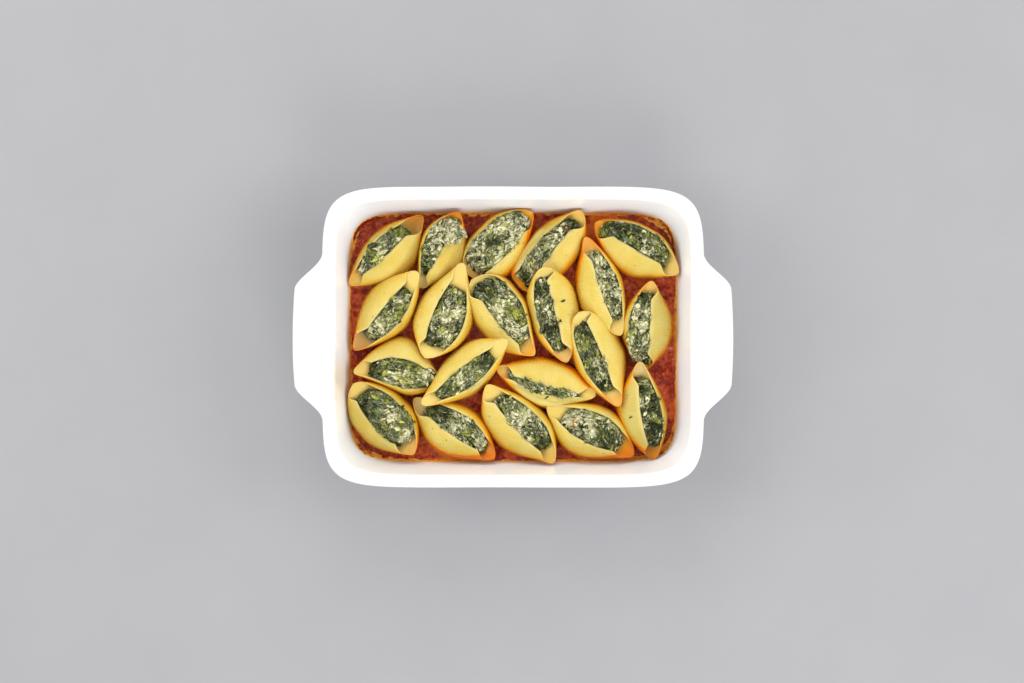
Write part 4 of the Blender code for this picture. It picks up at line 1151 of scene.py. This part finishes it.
def make_filling(shell):
    """One filling: the pillow, and on it crumpled leaves, pale strands, ricotta curds and stray scraps."""
    random = np.random.default_rng(4000 + shell.number)
    area = shell.half_length * (shell.ends[1] - shell.ends[0]) * (shell.thin + shell.lobe) * 0.62

    def spots(count, near, far):
        """Places near to far over the top, and the normal, a swirling heading and the brightness there."""
        w = random.uniform(-0.97, 0.97, count)
        t = random.uniform(-0.95, 0.95, count)
        here = filling_top(shell, w, t)[0]
        ahead = filling_top(shell, w + 0.02, t)[0] - here
        beside = filling_top(shell, w, t + 0.03)[0] - here
        normal = unit(np.cross(ahead, beside))
        normal = unit(normal * np.sign(normal[:, 2:3]) + random.normal(0.0, 0.25, (count, 3)))
        turn = 1.5 * waver(here, 0.0095, 2000 + shell.number) + shell.random_turns(random, 0.0, 0.40, count)
        shade = (smoothstep((1.0 - np.abs(t)) / 0.22) * smoothstep((1.0 - np.abs(w)) / 0.14))[:, None]
        here = here + [0.0, 0.0, 1.0] * random.uniform(near, far, (count, 1))
        return here, normal, level(np.cos(turn), np.sin(turn)), shade

    parts = [pillow(shell, random)]
    count = int(area / AREA_PER_LEAF)
    here, normal, heading, shade = spots(count, -0.0003, 0.0004)
    shape = sheets(random.uniform(0.0035, 0.0090, count), random.uniform(0.0016, 0.0036, count), random)
    tint = leaf_tints(here, shell, random)
    # Painted shadow and oil: scraps darken to olive-black towards the filling's edges and carry less ricotta
    # there.
    tint[:, :3] = tint[:, :3] * (0.45 + 0.55 * shade) + np.array(OIL_AND_SHADE_EDGE) * (1.0 - shade)
    tint[:, 3:4] -= 0.15 + 0.6 * (1.0 - shade)
    parts.append(scatter(here, normal, heading, shape, tint))

    count = int(area / AREA_PER_STRAND)
    here, normal, heading, shade = spots(count, 0.0, 0.0006)
    shape = strands(random.uniform(0.0030, 0.0085, count), random.uniform(0.0005, 0.0011, count),
                    random.uniform(0.2, 1.4, count) * random.choice([-1, 1], count),
                    random.uniform(-1.0, 1.0, count), random)
    tint = leaf_tints(here, shell, random, 0.9)
    # The pale strands stand partly for ricotta and pale stalks, and partly for painted highlights on the wet
    # leaves' edges.
    pale = np.array([PALE_LEAF, MID_LEAF, CREAM])[random.integers(0, 3, count)]
    keep = random.uniform(0.0, 1.0, count) < 0.35
    tint[:, :3] = np.where(keep[:, None], tint[:, :3], pale * random.uniform(0.6, 1.1, (count, 1)))
    # Painted shade: strands darken towards the filling's edges.
    tint[:, :3] *= 0.55 + 0.45 * shade
    tint[:, 3] -= 0.5
    parts.append(scatter(here, normal, heading, shape, tint))

    count = int(area / AREA_PER_CURD)
    here, normal, heading, shade = spots(count * 4, -0.0005, 0.0002)
    best = np.argsort(-(ricotta_share(here, shell) + random.normal(0.0, 0.5, count * 4)))[:count]
    shape = curds(random.uniform(0.0012, 0.0036, count) * random.uniform(0.7, 1.2, count), random)
    tint = np.array(CREAM) * random.uniform(0.85, 1.1, (count, 1))
    tint = np.concatenate([tint, np.full((count, 1), 1.6), np.zeros((count, 1))], axis=1)
    parts.append(scatter(here[best], normal[best], heading[best], shape, tint))

    parts.append(stray_scraps(shell, random))
    parts.extend(over_lip(shell, random))
    points, quads, triangles, tint = gather(parts)
    marks = {"tint": np.clip(tint[:, :3], 0.0, 1.0), "ricotta": tint[:, 3]}
    marks["flow"] = flow(points, shell, tint[:, 4])
    return new_piece(f"spinach_ricotta_{shell.number:02d}", points, quads, triangles, FILLING,
                     [f"filling_{shell.number:02d}"], marks)


def over_lip(shell, random):
    """Filling that lies over the rolled wall's lip: low heaps of crumpled leaves, and long pale strands.

    t past 1 stands for a centimetre for each 1 out from the lip. Scraps lie on the wall's ellipse there,
    heaped up by exp(-distance^2) in the middle.
    """
    parts = []
    for w, t, reach, kind in shell.patches:
        if kind not in ("heap", "strand"):
            continue
        count = 75 if kind == "heap" else 3
        spread = random.normal(0.0, 0.45 * reach, (count, 2))
        u = shell.along_filling(w) + spread[:, 0] / shell.half_length
        rim, widest = shell.edges(u)[1], shell.reaches(u)[1]
        side = np.minimum(rim + (t - 1.0) * 0.01 + spread[:, 1], rim + 0.85 * (widest - rim))
        keel, _, crest = shell.heights(u)
        out = np.clip((side - rim) / (widest - rim), 0.0, 0.95)
        height = (crest + keel) / 2 + (crest - keel) / 2 * np.sqrt(1.0 - out**2)
        crown = np.exp(-((spread / (0.6 * reach)) ** 2).sum(axis=1))
        height = height + 0.30 * reach * crown * (kind == "heap")
        here = shell.at(u, side, height + random.uniform(0.0002, 0.0008, count))
        normal = unit(random.normal(0.0, 0.25, (count, 3)) + [0.0, 0.0, 1.0])
        turn = shell.random_turns(random, 0.5, 0.8, count)
        tint = leaf_tints(here, shell, random)
        if kind == "heap":
            shape = sheets(random.uniform(0.0045, 0.0095, count),
                           random.uniform(0.0024, 0.0048, count), random)
            tint[:, 3] += 0.35
        else:
            shape = strands(random.uniform(1.3, 2.2, count) * reach, random.uniform(0.0010, 0.0017, count),
                            random.uniform(0.8, 1.5, count) * random.choice([-1, 1], count),
                            random.uniform(-0.6, 0.6, count), random)
            tint[:, :3] = np.array(PALE_LEAF) * random.uniform(0.9, 1.3, (count, 1))
            tint[:, 3] = 0.6
        parts.append(scatter(here, normal, level(np.cos(turn), np.sin(turn)), shape, tint))
    return parts


def stray_scraps(shell, random):
    """A few flecks of leaf that lie on the rolled wall near its lip."""
    outer, _, outward, _, _ = shell_faces(shell)
    count = int(random.integers(1, 4))
    row = random.integers(int(STATIONS * 0.22), int(STATIONS * 0.78), count)
    column = random.integers(ROUND - 7, ROUND - 1, count)
    here = outer[row, column] + outward[row, column] * 0.00015
    turn = random.uniform(0.0, 2.0 * math.pi, count)
    shape = strands(random.uniform(0.0006, 0.0015, count), random.uniform(0.0003, 0.0006, count),
                    random.uniform(0.2, 0.7, count), random.uniform(-0.6, 0.6, count), random)
    heading = level(np.cos(turn), np.sin(turn))
    return scatter(here, outward[row, column], heading, shape, leaf_tints(here, shell, random))


# ---------------------------------------------------------------- the sauce

# Places (x, y, reach) where the sauce lies thin and bright.
THIN_SAUCE = [
    (0.061, 0.084, 0.011), (0.070, 0.087, 0.009), (-0.004, -0.016, 0.020), (-0.006, -0.036, 0.018),
    (0.056, 0.074, 0.012), (0.058, 0.062, 0.010), (0.022, -0.040, 0.010), (0.084, -0.060, 0.010),
    (0.000, 0.002, 0.010), (0.010, 0.028, 0.008),
]

# Splashes (x, y, size) on the wall and rim.
SPLASHES = [
    (0.123, 0.0905, 0.0007), (0.1165, 0.072, 0.0011), (0.1155, 0.056, 0.0008),
    (-0.1035, -0.0925, 0.0009), (-0.1025, 0.0855, 0.0008), (-0.0990, 0.0865, 0.0010),
    (-0.0965, 0.0868, 0.0006), (0.1175, -0.083, 0.0006), (0.1135, 0.0500, 0.0006),
    (0.122, -0.090, 0.0005), (-0.117, 0.020, 0.0007), (0.1168, 0.066, 0.0005),
]
SAUCE_FOOT = FLOOR_THICKNESS + 0.0004
PULP_HEIGHT, GRIT_HEIGHT, FINE_GRIT_HEIGHT, LUMP_OF_PULP = 0.00085, 0.00050, 0.00020, 0.0011
CREEP_ON_PASTA, CREEP_ON_WALL = 0.0012, 0.0011


def shore(x, y):
    """Distance from points in the sauce to the nearest pasta at the sauce's level, and to the wall."""
    nearest = np.full(np.shape(x), 1.0)
    for shell in SHELLS:
        outline = shell.wall(np.linspace(-0.98, 0.98, 60), np.linspace(0.0, 1.0, 25)).reshape(-1, 3)
        outline = outline[np.abs(outline[:, 2] - SAUCE_LEVEL) < 0.004]
        if len(outline) == 0:
            continue
        close = (np.abs(x - shell.centre[0]) < 0.045) & (np.abs(y - shell.centre[1]) < 0.045)
        away_x = x[close][:, None] - outline[None, :, 0]
        away_y = y[close][:, None] - outline[None, :, 1]
        nearest[close] = np.minimum(nearest[close], np.hypot(away_x, away_y).min(axis=1))
    inset = inner_inset(SAUCE_LEVEL)
    to_wall = np.minimum(RIM_LENGTH / 2 - inset - np.abs(x), HALF_WIDTH - inset - np.abs(y))
    return nearest, to_wall


def make_sauce():
    """The sauce: a square grid drawn out to the dish's outline.

    Point (a, b) of the square goes to the outline's superellipse of size max(|a|, |b|). The surface is
    pulp relief, several layers of waver, and creeps up wherever it meets pasta or the wall. Below it, a
    skirt follows the wall down and a fan closes the underside.
    """
    inset = inner_inset(SAUCE_LEVEL) + 0.0002
    power = outline_power(inset)
    columns, rows = 250, 190
    a, b = np.meshgrid(np.linspace(-1, 1, columns), np.linspace(-1, 1, rows))
    size = np.maximum(np.abs(a), np.abs(b))
    shrink = size / np.maximum((np.abs(a) ** power + np.abs(b) ** power) ** (1.0 / power), 1e-9)
    x, y = a * (RIM_LENGTH / 2 - inset) * shrink, b * (HALF_WIDTH - inset) * shrink
    flat = level(x, y)
    to_pasta, to_wall = shore(x, y)
    to_wall = np.maximum(to_wall, 0.0)
    pulp = PULP_HEIGHT * waver(flat, 0.0095, 71) + GRIT_HEIGHT * rough(flat, 0.0046, 72, 2)
    pulp = pulp + FINE_GRIT_HEIGHT * waver(flat, 0.0021, 75)
    lumps = LUMP_OF_PULP * smoothstep((waver(flat, 0.0050, 76) - 0.25) / 0.35)
    creep = CREEP_ON_PASTA * np.exp(-to_pasta / 0.0013) + CREEP_ON_WALL * np.exp(-to_wall / 0.0012)
    height = SAUCE_LEVEL - 0.0006 + pulp + lumps + creep
    height = np.where(size > 0.9999, np.minimum(height, SAUCE_LEVEL + 0.0010), height)

    number = np.arange(rows * columns).reshape(rows, columns)
    upper = np.concatenate([number[0, :-1], number[:-1, -1], number[-1, :0:-1], number[:0:-1, 0]])
    rings = [level(x, y, height).reshape(-1, 3)]
    shore_x, shore_y = rings[0][upper, 0], rings[0][upper, 1]
    faces = [grid_faces(rows, columns)]
    for depth, rounding in ((0.012, 0.0), (SAUCE_FOOT, 0.0045)):
        pull = 1.0 - (inner_inset(depth) - inner_inset(SAUCE_LEVEL) + 0.0008 + rounding) / 0.085
        lower = sum(len(ring) for ring in rings) + np.arange(len(upper))
        faces.append(np.stack([upper, lower, np.roll(lower, -1), np.roll(upper, -1)], axis=-1))
        rings.append(level(shore_x * pull, shore_y * pull, depth))
        upper = lower
    points = np.concatenate([*rings, [[0.0, 0.0, SAUCE_FOOT]]])
    thin = np.zeros(len(points))
    for px, py, reach in THIN_SAUCE:
        thin = np.maximum(thin, 1.0 - smoothstep(np.hypot(points[:, 0] - px, points[:, 1] - py) / reach))
    rim = 0.9 * np.exp(-to_wall / 0.0014) + 0.80 * np.exp(-to_pasta / 0.0018)
    oil = np.zeros(len(points))
    oil[:rows * columns] = np.clip(rim * (0.75 + 0.8 * waver(flat, 0.02, 79)), 0.0, 1.0).reshape(-1)
    underside = fan_faces(len(points) - 1, upper, flip=True)
    return new_piece("tomato_sauce_pool", points, np.concatenate(faces), underside, SAUCE,
                     ["sauce"], {"thin": thin, "oil": oil})


def make_crust():
    """Sauce baked on to the wall: a ragged fillet round the dish.

    Across it runs a quarter-circle-like curve from the sauce up the wall. Its width and climb waver along
    the wall, most at the corners, and its surface is knobbly. The back lies against the wall.
    """
    count, steps = 1200, 13
    wall_inset = inner_inset(SAUCE_LEVEL)
    fine = np.linspace(-math.pi, math.pi, 20001)
    bearings, run = even_bearings(*dish_outline(fine, wall_inset), fine, count)
    x, y = dish_outline(bearings, wall_inset)
    spot = level(x, y)
    corner = smoothstep((np.abs(x) - 0.085) / 0.02) * smoothstep((np.abs(y) - 0.060) / 0.02)
    slow = 0.5 + 0.5 * waver(spot, 0.024, 81)
    quick = np.abs(waver(spot, 0.0030, 82)) + 0.45 * np.abs(waver(spot, 0.0014, 83))
    low_right = corner * (x > 0.0) * (y < 0.0)
    climb = 0.0008 + 0.0030 * slow * quick + (0.0030 + 0.0040 * low_right) * corner * quick + 0.0010 * slow
    width = 0.0010 + 0.0014 * slow * (0.3 + quick) + 0.0020 * corner * (0.5 + 0.5 * slow)
    share = np.linspace(0.0, 1.0, steps)[None, :]
    turn = share * math.pi / 2
    out = width[:, None] * (1.0 - np.sin(turn)) ** 1.2
    height = SAUCE_LEVEL - 0.0008 + (climb[:, None] + 0.0008) * (1.0 - np.cos(turn))
    knobs = waver(level(x[:, None] + 0.0 * share, y[:, None] + 0.0 * share, height), 0.0021, 84)
    inset = (height - SAUCE_LEVEL) * WALL_SLOPE
    off = out + 0.00030 * (1.0 - share**3) + 0.00032 * np.abs(knobs) * np.sin(share * math.pi) - inset
    normal = unit(np.stack([np.gradient(y), -np.gradient(x)], axis=-1))
    normal = normal * np.sign((normal * unit(np.stack([-x, -y], axis=-1))).sum(axis=-1, keepdims=True))

    def off_wall(away, up):
        """Points away from the wall's outline at sauce level, and at heights up."""
        return np.stack([x[:, None] + normal[:, :1] * away, y[:, None] + normal[:, 1:] * away, up], axis=-1)

    front = off_wall(off, height)
    behind = height[:, [-1, 0]]
    loops = np.concatenate([front, off_wall(-(behind - SAUCE_LEVEL) * WALL_SLOPE - 0.0003, behind)], axis=1)
    columns = loops.shape[1]
    number = np.arange(count * columns).reshape(count, columns)
    number = np.concatenate([number, number[:1]], axis=0).reshape(-1)
    strand = level(np.broadcast_to(run[:, None] / 9.0, front.shape[:2]), front[..., 2] * 3.0, off)
    dark = np.where(x < 0.0, np.where(y > 0.0, 1.10, 1.00), np.where(y > 0.0, 0.80, 0.30)) * corner
    dark = dark + 0.50 * waver(spot, 0.011, 87) + 0.30 * smoothstep((x - 0.105) / 0.006) * (1.0 - corner)
    stripes = 0.95 * waver(strand, 0.0008, 86) * (0.25 + corner[:, None])
    thick = np.zeros((count, columns))
    thick[:, :steps] = -0.25 + dark[:, None] + 0.40 * waver(front, 0.0075, 85) + stripes
    thick[:, :steps] *= 1.0 - share**10
    quads = number[grid_faces(count + 1, columns, wrap=True)]
    marks = {"thick": thick.reshape(-1)}
    return new_piece("baked_on_sauce_edge", loops, quads, [], CRUST, (), marks)


def wall_spot(x, y):
    """The place on the wall or rim over x, y, with the ways along the wall, up it and out of it there."""
    over_x, over_y = abs(x) - (RIM_LENGTH / 2 - RIM_BAND), abs(y) - (HALF_WIDTH - RIM_BAND)
    over = max(over_x, over_y)
    side = np.array([np.sign(x), 0.0]) if over_x >= over_y else np.array([0.0, np.sign(y)])
    centre = np.array([x, y, min(RIM_HEIGHT, RIM_HEIGHT + over / WALL_SLOPE)])
    up = np.array([*side * WALL_SLOPE, 1.0]) / math.hypot(1.0, WALL_SLOPE)
    out = np.array([*(-side * math.cos(WALL_DRAFT)), math.sin(WALL_DRAFT)])
    if over > 0:
        up, out = np.array([*side, 0.0]), np.array([0.0, 0.0, 1.0])
    return centre, np.array([-side[1], side[0], 0.0]), up, out


def make_spots():
    """Splashes of sauce on the wall and rim: flat drops, each a dome 1 - rise^2 with a ragged edge."""
    random = np.random.default_rng(91)
    rings, sides = 5, 14
    rise = np.linspace(0.15, 1.0, rings)[:, None]
    turn = (np.arange(sides) * 2.0 * math.pi / sides)[None, :]
    parts = []
    for x, y, size in SPLASHES:
        centre, cross, up, out = wall_spot(x, y)
        ragged = 1.0 + 0.25 * random.uniform(-1, 1, sides)[None, :]
        a, b = (size * rise * ragged * part(turn) for part in (np.cos, np.sin))
        lift = 0.35 * size * (1.0 - rise**2) + 0.0 * turn
        dome = centre + a[..., None] * cross + b[..., None] * up + (lift + 0.00005)[..., None] * out
        top, base = centre + out * (0.35 * size + 0.00006), centre - out * 0.0003
        points = np.concatenate([dome.reshape(-1, 3), [top, base]])
        parts.append((points, *tube_faces(rings, sides), np.zeros((len(points), 3))))
    points, quads, triangles, _ = gather(parts)
    return new_piece("sauce_splashes", points, quads, triangles, CRUST, (),
                     {"thick": np.full(len(points), 0.35)})


# ---------------------------------------------------------------- herbs

# Scraps of herb (x, y, length, bearing) that lie on the pasta.
HERBS = [
    (0.0355, 0.0255, 0.0042, 20), (0.0240, -0.0425, 0.0045, 35), (0.0512, -0.0745, 0.0036, 5),
    (0.0830, -0.0565, 0.0034, 25), (0.0960, -0.0050, 0.0030, -10), (0.0300, 0.0045, 0.0013, 0),
    (0.0240, 0.0200, 0.0012, 40), (-0.0570, 0.0490, 0.0012, 10), (0.0960, -0.0720, 0.0015, 80),
    (0.0330, 0.0020, 0.0012, 90), (0.0375, -0.0600, 0.0014, 10), (-0.0330, 0.0180, 0.0011, 30),
]


def make_herbs(surfaces):
    """Scraps of herb: small curled ribbons laid on the highest of the given surfaces under each."""
    cloud = np.concatenate([surface.reshape(-1, 3) for surface in surfaces])
    random = np.random.default_rng(77)
    x, y, length, bearing = np.array(HERBS).T
    centres, normals = [], []
    for px, py in zip(x, y):
        near = cloud[np.hypot(cloud[:, 0] - px, cloud[:, 1] - py) < 0.0012]
        top = near[:, 2].max() if len(near) else SAUCE_LEVEL
        centres.append([px, py, top + 0.0002])
        upper = near[near[:, 2] > top - 0.0015] if len(near) else np.zeros((0, 3))
        if len(upper) > 8:
            axes = np.linalg.svd(upper - upper.mean(axis=0))[2]
            normals.append(axes[2] * np.sign(axes[2][2] or 1.0))
        else:
            normals.append([0.0, 0.0, 1.0])
    turn = np.radians(bearing)
    shape = strands(length, length * random.uniform(0.18, 0.34, len(x)), random.uniform(0.2, 0.6, len(x)),
                    random.uniform(-0.5, 0.5, len(x)), random)
    heading, tints = level(np.cos(turn), np.sin(turn)), np.zeros((len(x), 3))
    part = scatter(np.array(centres), np.array(normals), heading, shape, tints)
    points, quads, triangles, _ = gather([part])
    return new_piece("chopped_herbs", points, quads, triangles, HERB)


# ---------------------------------------------------------------- floor, light and camera

FLOOR_REACH = 3.0


def make_floor():
    """A large flat floor just under the dish."""
    line = np.linspace(-FLOOR_REACH, FLOOR_REACH, 13)
    x, y = np.meshgrid(line, line)
    mesh = bpy.data.meshes.new("floor")
    mesh.from_pydata(level(x, y, -0.0002).reshape(-1, 3).tolist(), [], grid_faces(13, 13).tolist())
    mesh.materials.append(pale_floor())
    floor = bpy.data.objects.new("floor", mesh)
    bpy.context.scene.collection.objects.link(floor)


def soft_light(name, place, power):
    """A square soft light aimed at the dish."""
    light = bpy.data.lights.new(name, "AREA")
    light.shape = "SQUARE"
    light.size = 0.8
    light.energy = power
    lamp = bpy.data.objects.new(name, light)
    lamp.location = place
    aim = Vector((0.0, 0.0, 0.03)) - Vector(place)
    lamp.rotation_euler = aim.to_track_quat("-Z", "Y").to_euler()
    bpy.context.scene.collection.objects.link(lamp)


def make_studio():
    """Even, pale daylight from all round, a little stronger from the near side, dim straight overhead."""
    world = bpy.data.worlds.new("studio")
    world.use_nodes = True
    tree = world.node_tree
    place = tree.nodes.new("ShaderNodeTexCoord")
    split = tree.nodes.new("ShaderNodeSeparateXYZ")
    fall = tree.nodes.new("ShaderNodeMapRange")
    fall.interpolation_type = "SMOOTHSTEP"
    for socket, value in (("From Min", 0.92), ("From Max", 0.985), ("To Min", 0.98), ("To Max", 0.05)):
        fall.inputs[socket].default_value = value
    tree.links.new(place.outputs["Generated"], split.inputs[0])
    tree.links.new(split.outputs["Z"], fall.inputs["Value"])
    tree.links.new(fall.outputs[0], tree.nodes["Background"].inputs["Strength"])
    tree.nodes["Background"].inputs["Color"].default_value = (1.0, 1.0, 1.0, 1.0)
    bpy.context.scene.world = world
    soft_light("near_light", (0.30, -1.25, 0.85), 11.0)
    soft_light("right_light", (1.28, 0.10, 0.85), 9.0)
    soft_light("left_light", (-1.28, 0.20, 0.85), 9.0)
    soft_light("far_light", (-0.20, 1.28, 0.85), 9.0)


CAMERA_PLACE = (-0.0007, -0.0031, 1.041)


def make_camera():
    """A 50 mm camera straight above the dish."""
    lens = bpy.data.cameras.new("camera")
    lens.lens = 50.0
    lens.sensor_width = 36.0
    camera = bpy.data.objects.new("camera", lens)
    camera.location = CAMERA_PLACE
    bpy.context.scene.collection.objects.link(camera)
    bpy.context.scene.camera = camera


make_dish()
make_sauce()
make_crust()
make_spots()
for shell in SHELLS:
    make_shell(shell)
    make_filling(shell)
make_herbs([shell_faces(shell)[0] for shell in SHELLS])
make_floor()
make_studio()
make_camera()
bpy.context.scene.view_settings.view_transform = "Standard"
